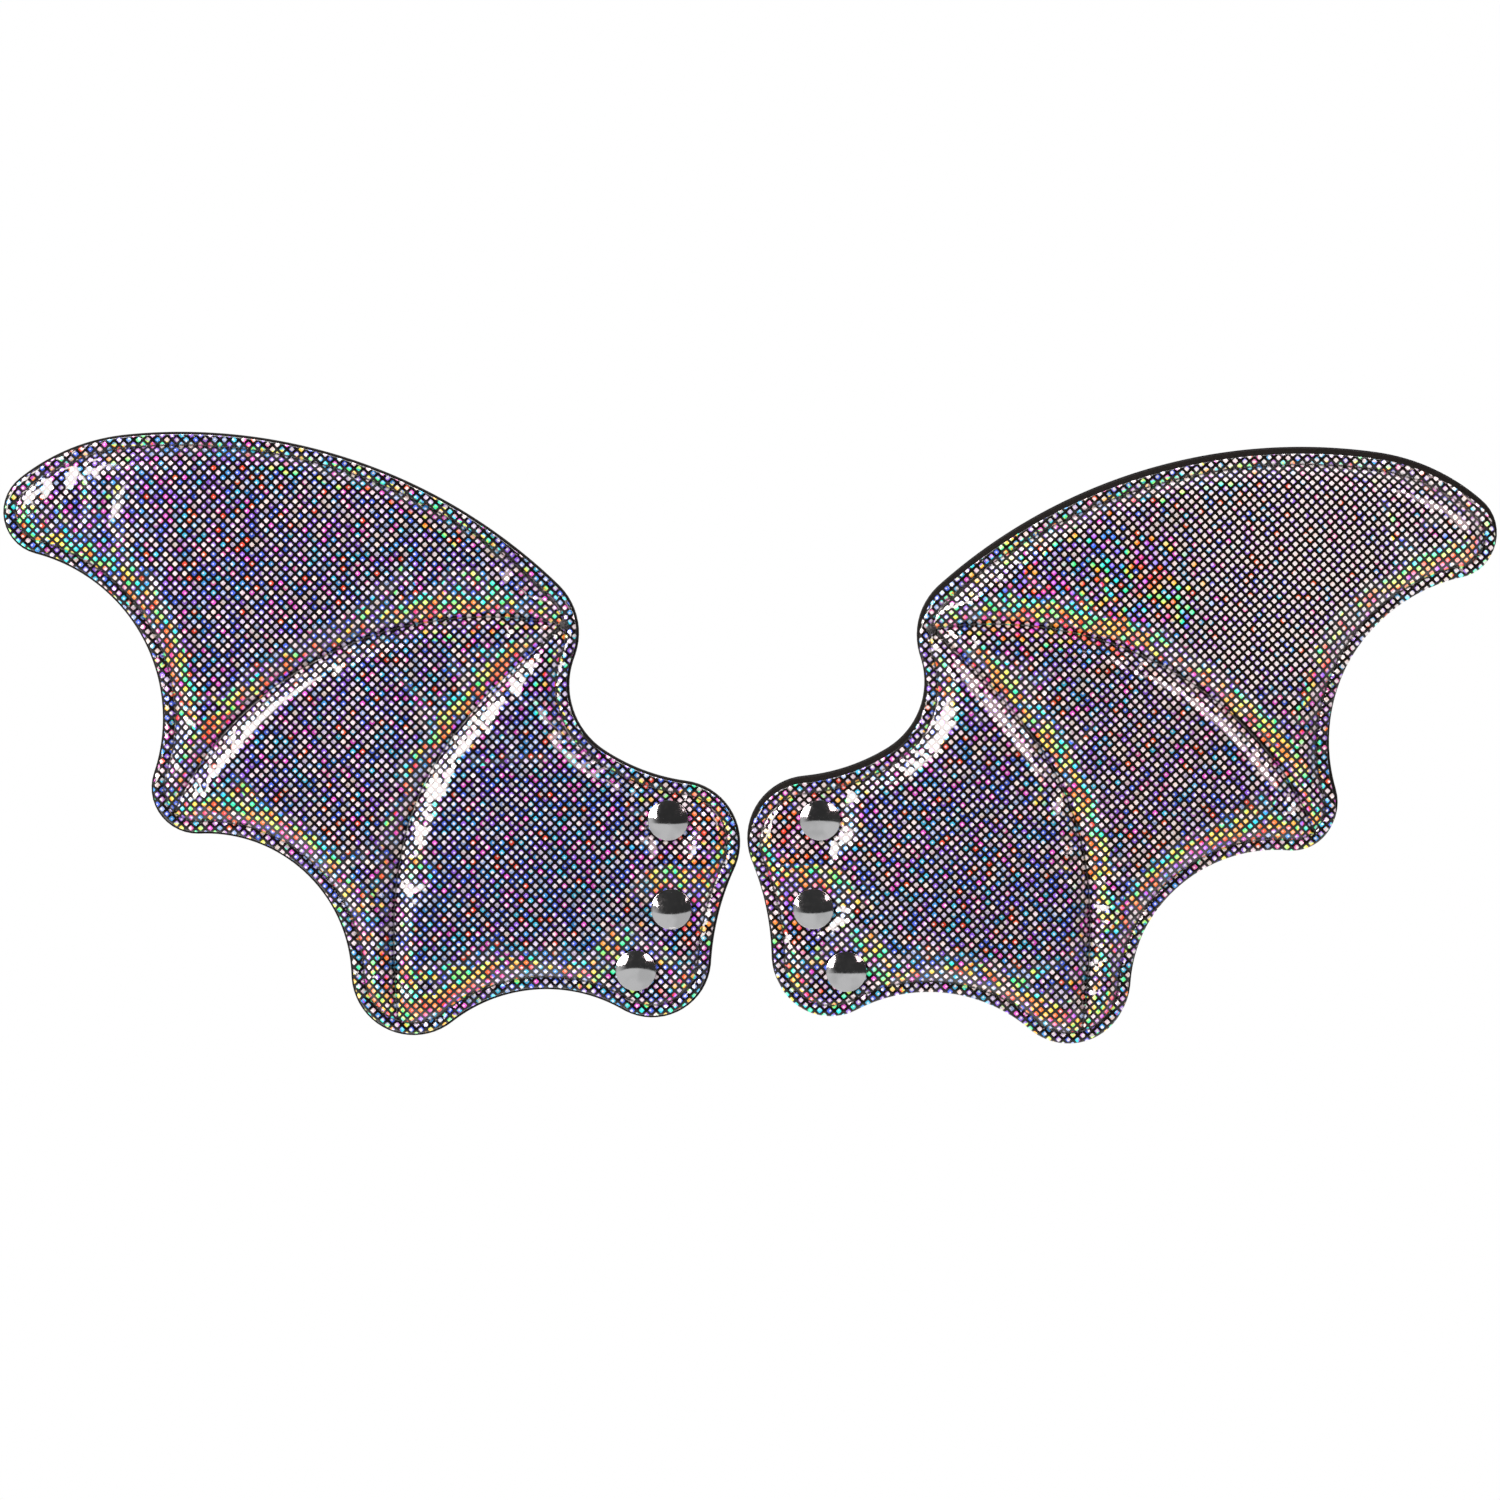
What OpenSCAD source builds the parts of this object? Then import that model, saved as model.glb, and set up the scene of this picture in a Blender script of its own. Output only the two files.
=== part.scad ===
// A mirrored pair of padded wings that clip onto laces or straps. Each wing is a sandwich of a front
// skin, a foam core and a back skin, sewn together round its edge and along two finger seams. Its
// root carries three snap fasteners, which close a flap over the laces behind it.
// Each wing is laid out flat first: x runs outwards from the root end, y upwards, z out of the front,
// with z = 0 on the back skin's outer face. It is then stood up facing -Y.

/* [Wing outline] */
// Length of one wing from its root end to its tip
wing_length = 227; // [205:1:275]
// Height of the tip lobe's centre above the root
tip_rise = 121.5; // [110:0.5:146]
// Radius of the tip lobe
tip_r = 12.5; // [10.5:0.5:15]
// Radius of the shoulder that runs from the tip into the top edge
shoulder_r = 62; // [52:1:74]
// Direction in which the shoulder meets the tip lobe
shoulder_angle = 51; // [45:1:60]
// Distance of the wrist lobe's centre from the root end
wrist_reach = 70; // [66:0.5:84]
// Height of the wrist lobe's centre above the root
wrist_rise = 84; // [80:0.5:100]
// Radius of the wrist lobe
wrist_r = 20; // [17:0.5:24]
// Radius of the neck's hollow under the wrist lobe
neck_r = 25; // [20:0.5:28]
// Direction in which the neck's hollow meets the wrist lobe
neck_angle = 201; // [196:1:206]
// Radius of the root's upper lobe, which touches the root end
root_top_r = 18.5; // [16:0.5:22]
// Height of the root's upper lobe above the root
root_top_rise = 19; // [17:0.5:22]
// Radius of the root's lower lobe
root_low_r = 17.5; // [15:0.5:21]
// Distance of the root's lower lobe from the root end
root_low_reach = 26.5; // [24:0.5:30]
// Depth of the root's lower lobe below the root
root_low_drop = 17; // [15:0.5:20]
// Radius of the inner finger's lobe
inner_finger_r = 18.5; // [15:0.5:22]
// Distance of the inner finger's lobe from the root end
inner_finger_reach = 100.5; // [92:0.5:120]
// Depth of the inner finger's lobe below the root
inner_finger_drop = 21.5; // [18:0.5:26]
// Radius of the outer finger's lobe
outer_finger_r = 13.5; // [11:0.5:16]
// Distance of the outer finger's lobe from the root end
outer_finger_reach = 167.5; // [158:0.5:180]
// Height of the outer finger's lobe above the root
outer_finger_rise = 36; // [30:0.5:43]

/* [Pair] */
// Distance between the two root ends as the pair lies
pair_gap = 3; // [2:0.1:12]
// Turn of the right wing, tip downwards, as the pair lies
right_turn = 2.3; // [0:0.1:4]
// Height of the right wing's root above the left one as the pair lies
right_rise = 0.9; // [-3:0.1:4]

/* [Layers] */
// Thickness of the front skin
front_skin_t = 0.9; // [0.6:0.05:1.2]
// Thickness of the back skin
back_skin_t = 0.9; // [0.6:0.05:1.2]
// Thickness of the foam where the seams and fasteners press it
foam_pressed_t = 1.2; // [0.8:0.1:2]
// Rise of the padded panels above the pressed level
puff = 4; // [2.5:0.1:5.5]
// Width of the slope between a seam and the top of a panel
puff_slope = 8; // [6.5:0.5:9]

/* [Seams] */
// Distance of the edge seam from the wing's edge
seam_inset = 3.3; // [2.6:0.1:4]
// Half width of the pressed valley beside a seam
valley = 1.2; // [0.8:0.1:1.6]
// Width of a line of thread
thread_w = 0.6; // [0.4:0.05:0.8]
// Height of a line of thread above the skin
thread_h = 0.4; // [0.25:0.05:0.6]
// Diameter of the knot where the two finger seams start
knot_d = 3.2; // [2.4:0.1:4]
// Height of that knot
knot_h = 1.1; // [0.8:0.1:1.5]

/* [Flap] */
// Distance of the middle of the fold from the root end
fold_reach = 53.5; // [50:0.5:60]
// Height of the middle of the fold above the root
fold_rise = 13; // [10:0.5:16]
// Lean of the fold, top towards the root end
fold_lean = 13; // [8:1:18]
// Length of the fold
fold_length = 68; // [58:1:72]
// Thickness of the flap
flap_t = 1.6; // [1.2:0.1:2.2]
// Distance of the flap's edge from the wing's edge
flap_inset = 4.6; // [4:0.1:6]
// Distance over which the flap slopes away from the wing
flap_run = 12; // [10:0.5:14.5]
// Width of the strip that is sewn to the wing
anchor_w = 6; // [5:0.1:7]
// Free width between the sewn strip and the fold
fold_gap = 2.2; // [1.8:0.1:3]
// Distance of the flap's own stitching from its edge
flap_seam_inset = 2; // [1.6:0.1:2.4]

/* [Snap fasteners] */
// Place of the upper fastener
snap_top = [21.5, 26];
// Place of the middle fastener
snap_middle = [20.5, -1.5];
// Place of the lower fastener
snap_low = [31.5, -20.5];
// Diameter of the domed cap
cap_d = 12.5; // [10.5:0.1:15]
// Height of the dome
cap_h = 2.4; // [1.8:0.1:3]
// Thickness of the cap's rim
cap_rim = 0.5; // [0.3:0.05:0.8]
// Diameter of the cap's rivet post
post_d = 3.6; // [3:0.1:4.4]
// Clearance of the wing's holes round that post
hole_clear = 0.2; // [0.1:0.05:0.4]
// Width of the pressed ring of skin round the cap
well_margin = 1.8; // [1.2:0.1:2.4]
// Diameter of the socket
socket_d = 10.2; // [9.2:0.1:12.2]
// Height of the socket, which spaces the flap off the wing
socket_h = 3.8; // [3.4:0.1:4.6]
// Thickness of the socket's sheet metal
socket_t = 0.45; // [0.35:0.05:0.6]
// Diameter of the stud's head
stud_head_d = 3.8; // [3.2:0.1:4.4]
// Height of the stud above its base
stud_h = 3; // [2.6:0.1:3.2]
// Diameter of the stud's base
stud_base_d = 9.4; // [8.4:0.1:11]
// Thickness of the stud's base
stud_base_t = 0.7; // [0.5:0.05:0.9]
// Gap between the socket and the closed stud's base
snap_gap = 0.5; // [0.4:0.05:0.7]
// Clearance between the relaxed spring ring and the stud's head
spring_clear = 0.3; // [0.3:0.05:0.5]
// Diameter of the spring's wire
spring_wire_d = 0.5; // [0.4:0.05:0.6]
// Diameter of the eyelet's flange
eyelet_d = 10; // [9:0.1:12]
// Thickness of the eyelet's flange
eyelet_t = 0.6; // [0.4:0.05:0.9]
// Diameter of the eyelet's post
eyelet_post_d = 3; // [2.4:0.1:3.6]

/* [Movement] */
// How far the wing bends each way beside its root
flex_range = 30; // [10:1:35]
// Clearance left between root and wing when bent that far
flex_clear = 0.6; // [0.4:0.05:1]
// Distance of the bending line from the fold of the flap
flex_offset = 10.5; // [9.6:0.1:14]

/* [Hidden] */

// Angle between neighbouring points of a round stretch
arc_step = 9;
// Points along each finger seam
seam_steps = 14;
// Steps in which a padded panel rises
puff_steps = 3;
// Small overlap that keeps a cut clean
cut = 0.1;
// Longer than anything in the part
far = 500;
// Steps round large, small and tiny turned shapes
round_steps = 48;
small_steps = 24;
tiny_steps = 16;
// Steps up the dome of a cap
dome_steps = 8;
// The knot's top as a share of its foot
knot_taper = 0.7;
// Turn against a circle's own way beyond which the outline goes the long way round it
backlash = 20;

// Radius of each bridging arc, as a share of the distance between the lobes that it joins
top_edge_share = 1.48;
neck_side_share = 1.24;
root_end_share = 2.23;
inner_bay_share = 0.65;
middle_bay_share = 0.52;
outer_bay_share = 0.55;

// Directions of the finger seams' ends from the centres of their lobes
knot_angle = 171;
outer_end_angle = -47;
inner_end_angle = -72;
// Shape of each finger seam: direction and reach at the knot, then direction and reach at its end
outer_seam_form = [11, 0.46, 112, 0.28];
inner_seam_form = [-39, 0.47, 85, 0.43];

// Levels through the sandwich
back_level = 0;
foam_level = back_skin_t;
under_level = foam_level + foam_pressed_t;
front_level = under_level + front_skin_t;
panel_level = front_level + puff;

// Levels behind the wing
socket_level = -socket_h;
lace_gap = socket_h + snap_gap + stud_base_t;
flap_level = -lace_gap;
flap_back = flap_level - flap_t;
eyelet_back = flap_back - eyelet_t;
middle_level = (panel_level + eyelet_back) / 2;

// Fold of the flap: its axis lies just clear of the back skin
fold_clear = 0.35;
fold_level = -fold_clear - flap_t / 2;
fold_inward = [-cos(fold_lean), -sin(fold_lean)];
fold_middle = [fold_reach, fold_rise];

// Bending line beside the root
flex_gap = (panel_level - back_level) * tan(flex_range / 2) + flex_clear;
flex_middle = fold_middle - fold_inward * flex_offset;

snaps = [snap_top, snap_middle, snap_low];

// ---- Outline maths ----

// A circle is [x, y, r]. A negative r bends the outline inwards.
function centre(c) = [c[0], c[1]];
function span(a, b) = norm(centre(b) - centre(a));
function polar(r, a) = [r * cos(a), r * sin(a)];
function from_centre(c, r, a) = centre(c) + polar(r, a);

// The circle of signed radius r that touches the circles a and b
function bridge(a, b, r) =
    let (
        d = span(a, b),
        da = abs(a[2] - r),
        db = abs(b[2] - r),
        along = (da * da - db * db + d * d) / (2 * d),
        aside = sqrt(max(0, da * da - along * along)) * sign(r),
        u = (centre(b) - centre(a)) / d
    )
    [a[0] + u[0] * along - u[1] * aside, a[1] + u[1] * along + u[0] * aside, r];

// Outward direction where neighbouring circles of a chain touch
function touch(a, b) =
    let (n = (centre(b) - centre(a)) / (a[2] - b[2]))
    n / norm(n);

// Angle that the outline turns through along a circle of signed radius r
function sweep(n0, n1, r) =
    let (turn = atan2(cross(n0, n1), n0 * n1))
    turn * sign(r) < -backlash ? turn + 360 * sign(r) : turn;

function arc_points(c, n0, n1, inset) =
    let (
        start = atan2(n0[1], n0[0]),
        turn = sweep(n0, n1, c[2]),
        n = max(2, ceil(abs(turn) / arc_step))
    )
    [for (k = [0:n - 1]) from_centre(c, c[2] - inset, start + turn * k / n)];

// Closed outline along a chain of touching circles, moved inwards by inset
function chain_points(chain, inset) =
    let (m = len(chain))
    [for (i = [0:m - 1])
        let (
            before = chain[(i + m - 1) % m],
            here = chain[i],
            after = chain[(i + 1) % m]
        )
        each arc_points(here, touch(before, here), touch(here, after), inset)];

// Point and direction along a curve with four control points
function curve_point(p, t) =
    p[0] * pow(1 - t, 3) + p[1] * 3 * pow(1 - t, 2) * t + p[2] * 3 * (1 - t) * t * t + p[3] * pow(t, 3);
function curve_way(p, t) =
    let (d = (p[1] - p[0]) * pow(1 - t, 2) + (p[2] - p[1]) * 2 * (1 - t) * t + (p[3] - p[2]) * t * t)
    d / norm(d);
function curve_side(p, t, w) =
    let (way = curve_way(p, t))
    curve_point(p, t) + w * [-way[1], way[0]];

// ---- Lobes and hollows of the wing ----

tip = [wing_length - tip_r, tip_rise, tip_r];
shoulder = concat(from_centre(tip, tip_r - shoulder_r, shoulder_angle), shoulder_r);
wrist = [wrist_reach, wrist_rise, wrist_r];
neck = concat(from_centre(wrist, wrist_r + neck_r, neck_angle), -neck_r);
root_top = [root_top_r, root_top_rise, root_top_r];
root_low = [root_low_reach, -root_low_drop, root_low_r];
inner_finger = [inner_finger_reach, -inner_finger_drop, inner_finger_r];
outer_finger = [outer_finger_reach, outer_finger_rise, outer_finger_r];

top_edge = bridge(shoulder, wrist, top_edge_share * span(shoulder, wrist));
neck_side = bridge(neck, root_top, -neck_side_share * span(neck, root_top));
root_end = bridge(root_top, root_low, -root_end_share * span(root_top, root_low));
inner_bay = bridge(root_low, inner_finger, -inner_bay_share * span(root_low, inner_finger));
middle_bay = bridge(inner_finger, outer_finger, -middle_bay_share * span(inner_finger, outer_finger));
outer_bay = bridge(outer_finger, tip, -outer_bay_share * span(outer_finger, tip));

wing_chain = [
    tip, shoulder, top_edge, wrist, neck, neck_side, root_top, root_end,
    root_low, inner_bay, inner_finger, middle_bay, outer_finger, outer_bay
];

// Finger seams: both start at the knot on the wrist lobe and each ends on its finger's lobe
knot = from_centre(wrist, wrist_r - seam_inset, knot_angle);
outer_seam_end = from_centre(outer_finger, outer_finger_r - seam_inset, outer_end_angle);
inner_seam_end = from_centre(inner_finger, inner_finger_r - seam_inset, inner_end_angle);

function seam_curve(end, form) =
    let (length = norm(end - knot))
    [
        knot,
        knot + polar(form[1] * length, form[0]),
        end + polar(form[3] * length, form[2]),
        end
    ];

outer_seam = seam_curve(outer_seam_end, outer_seam_form);
inner_seam = seam_curve(inner_seam_end, inner_seam_form);

// ---- Extent of the pair, for its centre ----

function turned(c, a) = [c[0] * cos(a) + c[1] * sin(a), -c[0] * sin(a) + c[1] * cos(a)];
tip_turned = turned(tip, right_turn);
finger_turned = turned(inner_finger, right_turn);
left_reach = pair_gap / 2 + wing_length;
right_reach = pair_gap / 2 + tip_turned[0] + tip_r;
pair_top = top_edge[1] + top_edge[2];
pair_bottom = min(-inner_finger_drop, finger_turned[1] + right_rise) - inner_finger_r;
pair_centre = [(right_reach - left_reach) / 2, (pair_top + pair_bottom) / 2];

// ---- Flat shapes ----

module wing_outline(inset) {
    polygon(chain_points(wing_chain, inset));
}

// Strip of half width w along a finger seam
module seam_strip(p, w) {
    polygon(concat(
        [for (k = [0:seam_steps]) curve_side(p, k / seam_steps, w)],
        [for (k = [seam_steps:-1:0]) curve_side(p, k / seam_steps, -w)]
    ));
}

// The three padded panels, pulled back by edge from every seam and by well round every fastener
module panels(edge, well) {
    difference() {
        wing_outline(seam_inset + edge);
        seam_strip(outer_seam, edge);
        seam_strip(inner_seam, edge);
        for (s = snaps) translate(s) circle(r = well, $fn = small_steps);
    }
}

// Plane figure on the fold's own axes: first axis inwards from the fold, second along it
module on_fold(middle = fold_middle) {
    translate(middle) rotate(180 + fold_lean) children();
}

// Everything on the root's side of a line that lies off beyond the bending line
module root_half(off) {
    on_fold(flex_middle) translate([off, -far / 2]) square([far, far]);
}

// The flap's shape: the root's own outline, moved inwards
module flap_shape(inset, start) {
    intersection() {
        wing_outline(inset);
        on_fold() translate([start, -fold_length / 2]) square([far, fold_length]);
    }
}

// ---- Solids of one wing, lying flat ----

// Padded form from level low, its panels rising from level top; skin pulls the inner form in
module padded_form(low, top, skin) {
    translate([0, 0, low]) linear_extrude(top - low) wing_outline(0);
    for (k = [1:puff_steps]) {
        back_off = puff_slope * (1 - sqrt(1 - pow((k - 0.5) / puff_steps, 2)));
        translate([0, 0, low]) linear_extrude(top - low + puff * k / puff_steps)
            panels(valley + skin + back_off, cap_d / 2 + well_margin + skin + back_off);
    }
}

module wing_holes() {
    for (s = snaps) translate([s[0], s[1], -far / 2])
        cylinder(d = post_d + 2 * hole_clear, h = far, $fn = small_steps);
}

module root_part() {
    intersection() {
        children();
        translate([0, 0, -far / 2]) linear_extrude(far) root_half(flex_gap / 2);
    }
}

module wing_part() {
    difference() {
        children();
        translate([0, 0, -far / 2]) linear_extrude(far) root_half(-flex_gap / 2);
    }
}

module front_skin() {
    difference() {
        padded_form(under_level, front_level, 0);
        padded_form(under_level - cut, under_level, front_skin_t);
        wing_holes();
    }
}

module foam() {
    difference() {
        padded_form(foam_level, under_level, front_skin_t);
        wing_holes();
    }
}

module back_skin() {
    difference() {
        linear_extrude(back_skin_t) wing_outline(0);
        wing_holes();
    }
}

// Needle thread on the front and bobbin thread on the back
module thread_pair() {
    translate([0, 0, front_level]) linear_extrude(thread_h) children();
    translate([0, 0, -thread_h]) linear_extrude(thread_h) children();
}

module edge_thread() {
    thread_pair() difference() {
        wing_outline(seam_inset - thread_w / 2);
        wing_outline(seam_inset + thread_w / 2);
        translate(knot) circle(d = knot_d, $fn = small_steps);
        translate(outer_seam_end) circle(d = 2 * thread_w, $fn = tiny_steps);
        translate(inner_seam_end) circle(d = 2 * thread_w, $fn = tiny_steps);
    }
}

module finger_thread(p) {
    thread_pair() difference() {
        seam_strip(p, thread_w / 2);
        translate(knot) circle(d = knot_d, $fn = small_steps);
    }
}

module seam_knot() {
    translate([knot[0], knot[1], front_level])
        cylinder(d1 = knot_d, d2 = knot_d * knot_taper, h = knot_h, $fn = small_steps);
    translate([knot[0], knot[1], -thread_h])
        cylinder(d = knot_d, h = thread_h, $fn = small_steps);
}

module anchor_shape(inset) {
    intersection() {
        wing_outline(flap_inset + inset);
        on_fold() translate([-fold_gap - anchor_w + inset, -fold_length / 2 + inset])
            square([anchor_w - 2 * inset, fold_length - 2 * inset]);
    }
}

module flap_anchor() {
    translate([0, 0, -flap_t]) linear_extrude(flap_t) anchor_shape(0);
}

module anchor_thread() {
    translate([0, 0, -flap_t - thread_h]) linear_extrude(thread_h) difference() {
        anchor_shape(flap_seam_inset - thread_w / 2);
        anchor_shape(flap_seam_inset + thread_w / 2);
    }
}

// Side view of the flap: a round fold, a slope and a flat, all flap_t thick; drop lowers it
module flap_profile(thick, drop) {
    high = fold_level + flap_t / 2 - drop;
    flat = flap_level - drop;
    polygon([
        [0, high], [flap_run, flat], [far / 4, flat],
        [far / 4, flat - thick], [flap_run, flat - thick], [0, high - thick]
    ]);
}

// Stands a side view up along the fold
module along_fold() {
    translate([fold_middle[0], fold_middle[1], 0]) rotate([0, 0, 180 + fold_lean])
        translate([0, fold_length / 2, 0]) rotate([90, 0, 0]) linear_extrude(fold_length) children();
}

// The round fold, trimmed to the flap's shape
module fold_roll() {
    intersection() {
        along_fold() translate([0, fold_level]) circle(d = flap_t, $fn = small_steps);
        translate([0, 0, -far / 2]) linear_extrude(far) flap_shape(flap_inset, -flap_t);
    }
}

module flap() {
    difference() {
        union() {
            fold_roll();
            intersection() {
                along_fold() flap_profile(flap_t, 0);
                translate([0, 0, -far / 2]) linear_extrude(far) flap_shape(flap_inset, 0);
            }
        }
        for (s = snaps) translate([s[0], s[1], flap_back - cut])
            cylinder(d = eyelet_post_d + 2 * hole_clear, h = flap_t + 2 * cut, $fn = small_steps);
    }
}

// Stitching round the flap, on its outer face
module flap_thread() {
    intersection() {
        along_fold() flap_profile(thread_h, flap_t);
        translate([0, 0, -far / 2]) linear_extrude(far) difference() {
            flap_shape(flap_inset + flap_seam_inset - thread_w / 2, flap_t);
            flap_shape(flap_inset + flap_seam_inset + thread_w / 2, 0);
        }
    }
}

// ---- Snap fasteners: each profile is [distance from the axis, level] ----

module on_snaps() {
    for (s = snaps) translate([s[0], s[1], 0]) children();
}

// Domed cap whose hollow post passes through the wing and is spread inside the socket
module snap_cap() {
    r = cap_d / 2;
    rise = cap_h - cap_rim;
    dome_r = (r * r + rise * rise) / (2 * rise);
    dome_a = asin(r / dome_r);
    post_r = post_d / 2;
    floor_level = -socket_t;
    rotate_extrude($fn = round_steps) polygon(concat(
        [[0, floor_level - socket_t]],
        [[post_r + socket_t, floor_level - socket_t], [post_r + socket_t, floor_level]],
        [[post_r, floor_level], [post_r, front_level], [r, front_level]],
        [for (k = [0:dome_steps]) [
            dome_r * sin(dome_a * (1 - k / dome_steps)),
            front_level + cap_h - dome_r + dome_r * cos(dome_a * (1 - k / dome_steps))
        ]]
    ));
}

// Play between a post and the part pressed onto it, and the steps of the stud's rounded shape
press_play = 0.02;
bevel = 0.3;
step = 0.4;
roll = 0.6;
head_h = 0.9;
spring_drop = 0.1;
// Gap between the end of the eyelet's post and the stud
post_clear = 0.05;

spring_r = stud_head_d / 2 + spring_clear + spring_wire_d / 2;
cavity_r = spring_r + spring_wire_d / 2 + spring_clear / 2;
mouth_r = stud_head_d / 2 + 2 * spring_clear;
stud_top = flap_level + stud_base_t + stud_h;
stud_neck_top = stud_top - head_h;
spring_level = stud_neck_top - spring_wire_d / 2 - spring_drop;
post_end = flap_level + stud_base_t / 2;

// Socket: a cup with a flange against the wing and a turned-in mouth
module snap_socket() {
    r = socket_d / 2;
    post_r = post_d / 2 + press_play;
    rotate_extrude($fn = round_steps) polygon([
        [post_r, 0], [r, 0], [r, -socket_t], [cavity_r + 2 * socket_t, -2 * socket_t],
        [cavity_r + socket_t, socket_level], [mouth_r, socket_level],
        [mouth_r, socket_level + socket_t], [cavity_r, socket_level + socket_t],
        [cavity_r, -socket_t], [post_r, -socket_t]
    ]);
}

module socket_spring() {
    translate([0, 0, spring_level]) rotate_extrude($fn = round_steps)
        translate([spring_r, 0]) circle(d = spring_wire_d, $fn = tiny_steps);
}

// Stud: a base on the flap, a neck and a rounded head, hollow where the eyelet's post enters
module snap_stud() {
    base_r = stud_base_d / 2;
    head_r = stud_head_d / 2;
    neck_r = head_r - step;
    bore_r = eyelet_post_d / 2 + press_play;
    base_top = flap_level + stud_base_t;
    rotate_extrude($fn = round_steps) polygon([
        [0, post_end], [bore_r, post_end], [bore_r, flap_level], [base_r, flap_level],
        [base_r, post_end], [base_r - step, base_top],
        [neck_r + bevel, base_top], [neck_r, base_top + bevel],
        [neck_r, stud_neck_top], [head_r, stud_neck_top + bevel], [head_r, stud_top - bevel],
        [head_r - step, stud_top], [0, stud_top]
    ]);
}

// Eyelet: a rolled flange on the flap's outer face, and a post that holds the stud
module stud_eyelet() {
    r = eyelet_d / 2;
    post_r = eyelet_post_d / 2;
    waist = flap_back - eyelet_t / 2;
    rotate_extrude($fn = round_steps) polygon([
        [0, waist], [post_r, waist], [post_r + roll, eyelet_back], [r - roll, eyelet_back],
        [r, waist], [r, flap_back], [post_r, flap_back],
        [post_r, post_end - post_clear], [0, post_end - post_clear]
    ]);
}

// ---- Standing the wings up, facing -Y ----

module stand() {
    translate([-pair_centre[0], 0, -pair_centre[1]]) children();
}

module upright() {
    rotate([90, 0, 0]) translate([0, 0, -middle_level]) children();
}

module as_left() {
    stand() translate([-pair_gap / 2, 0, 0]) mirror([1, 0, 0]) upright() children();
}

module as_right() {
    stand() translate([pair_gap / 2, 0, right_rise]) rotate([0, right_turn, 0]) upright() children();
}

module placed(side) {
    if (side == "left") as_left() children();
    if (side == "right") as_right() children();
}

// ---- Named pieces ----

silver_film = [0.74, 0.72, 0.82];
foam_grey = [0.2, 0.2, 0.22];
backing_black = [0.08, 0.08, 0.09];
thread_black = [0.03, 0.03, 0.03];
chromed = [0.8, 0.8, 0.82];
nickel = [0.6, 0.6, 0.62];

module front_skin_root(side) { color(silver_film) placed(side) root_part() front_skin(); }
module front_skin_wing(side) { color(silver_film) placed(side) wing_part() front_skin(); }
module foam_root(side) { color(foam_grey) placed(side) root_part() foam(); }
module foam_wing(side) { color(foam_grey) placed(side) wing_part() foam(); }
module back_skin_root(side) { color(backing_black) placed(side) root_part() back_skin(); }
module back_skin_wing(side) { color(backing_black) placed(side) wing_part() back_skin(); }
module edge_thread_root(side) { color(thread_black) placed(side) root_part() edge_thread(); }
module edge_thread_wing(side) { color(thread_black) placed(side) wing_part() edge_thread(); }
module outer_finger_thread(side) { color(thread_black) placed(side) finger_thread(outer_seam); }
module inner_finger_thread(side) { color(thread_black) placed(side) finger_thread(inner_seam); }
module finger_knot(side) { color(thread_black) placed(side) seam_knot(); }
module sewn_anchor(side) { color(backing_black) placed(side) flap_anchor(); }
module sewn_anchor_thread(side) { color(thread_black) placed(side) anchor_thread(); }
module lace_flap(side) { color(backing_black) placed(side) flap(); }
module lace_flap_thread(side) { color(thread_black) placed(side) flap_thread(); }
module snap_caps(side) { color(chromed) placed(side) on_snaps() snap_cap(); }
module snap_sockets(side) { color(nickel) placed(side) on_snaps() snap_socket(); }
module socket_springs(side) { color(nickel) placed(side) on_snaps() socket_spring(); }
module snap_studs(side) { color(nickel) placed(side) on_snaps() snap_stud(); }
module stud_eyelets(side) { color(nickel) placed(side) on_snaps() stud_eyelet(); }

front_skin_root("left");  // left_front_skin_root
front_skin_wing("left");  // left_front_skin_wing
foam_root("left");  // left_foam_root
foam_wing("left");  // left_foam_wing
back_skin_root("left");  // left_back_skin_root
back_skin_wing("left");  // left_back_skin_wing
edge_thread_root("left");  // left_edge_thread_root
edge_thread_wing("left");  // left_edge_thread_wing
outer_finger_thread("left");  // left_outer_finger_thread
inner_finger_thread("left");  // left_inner_finger_thread
finger_knot("left");  // left_seam_knot
sewn_anchor("left");  // left_flap_anchor
sewn_anchor_thread("left");  // left_anchor_thread
lace_flap("left");  // left_flap
lace_flap_thread("left");  // left_flap_thread
snap_caps("left");  // left_snap_caps
snap_sockets("left");  // left_snap_sockets
socket_springs("left");  // left_socket_springs
snap_studs("left");  // left_snap_studs
stud_eyelets("left");  // left_stud_eyelets
front_skin_root("right");  // right_front_skin_root
front_skin_wing("right");  // right_front_skin_wing
foam_root("right");  // right_foam_root
foam_wing("right");  // right_foam_wing
back_skin_root("right");  // right_back_skin_root
back_skin_wing("right");  // right_back_skin_wing
edge_thread_root("right");  // right_edge_thread_root
edge_thread_wing("right");  // right_edge_thread_wing
outer_finger_thread("right");  // right_outer_finger_thread
inner_finger_thread("right");  // right_inner_finger_thread
finger_knot("right");  // right_seam_knot
sewn_anchor("right");  // right_flap_anchor
sewn_anchor_thread("right");  // right_anchor_thread
lace_flap("right");  // right_flap
lace_flap_thread("right");  // right_flap_thread
snap_caps("right");  // right_snap_caps
snap_sockets("right");  // right_snap_sockets
socket_springs("right");  // right_socket_springs
snap_studs("right");  // right_snap_studs
stud_eyelets("right");  // right_stud_eyelets
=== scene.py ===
"""Looks of a pair of padded clip-on wings: holographic mesh print, foam, black backing, sewn seams."""

import math

import bpy
import numpy as np
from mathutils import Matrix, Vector
from mathutils.geometry import delaunay_2d_cdt


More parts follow.
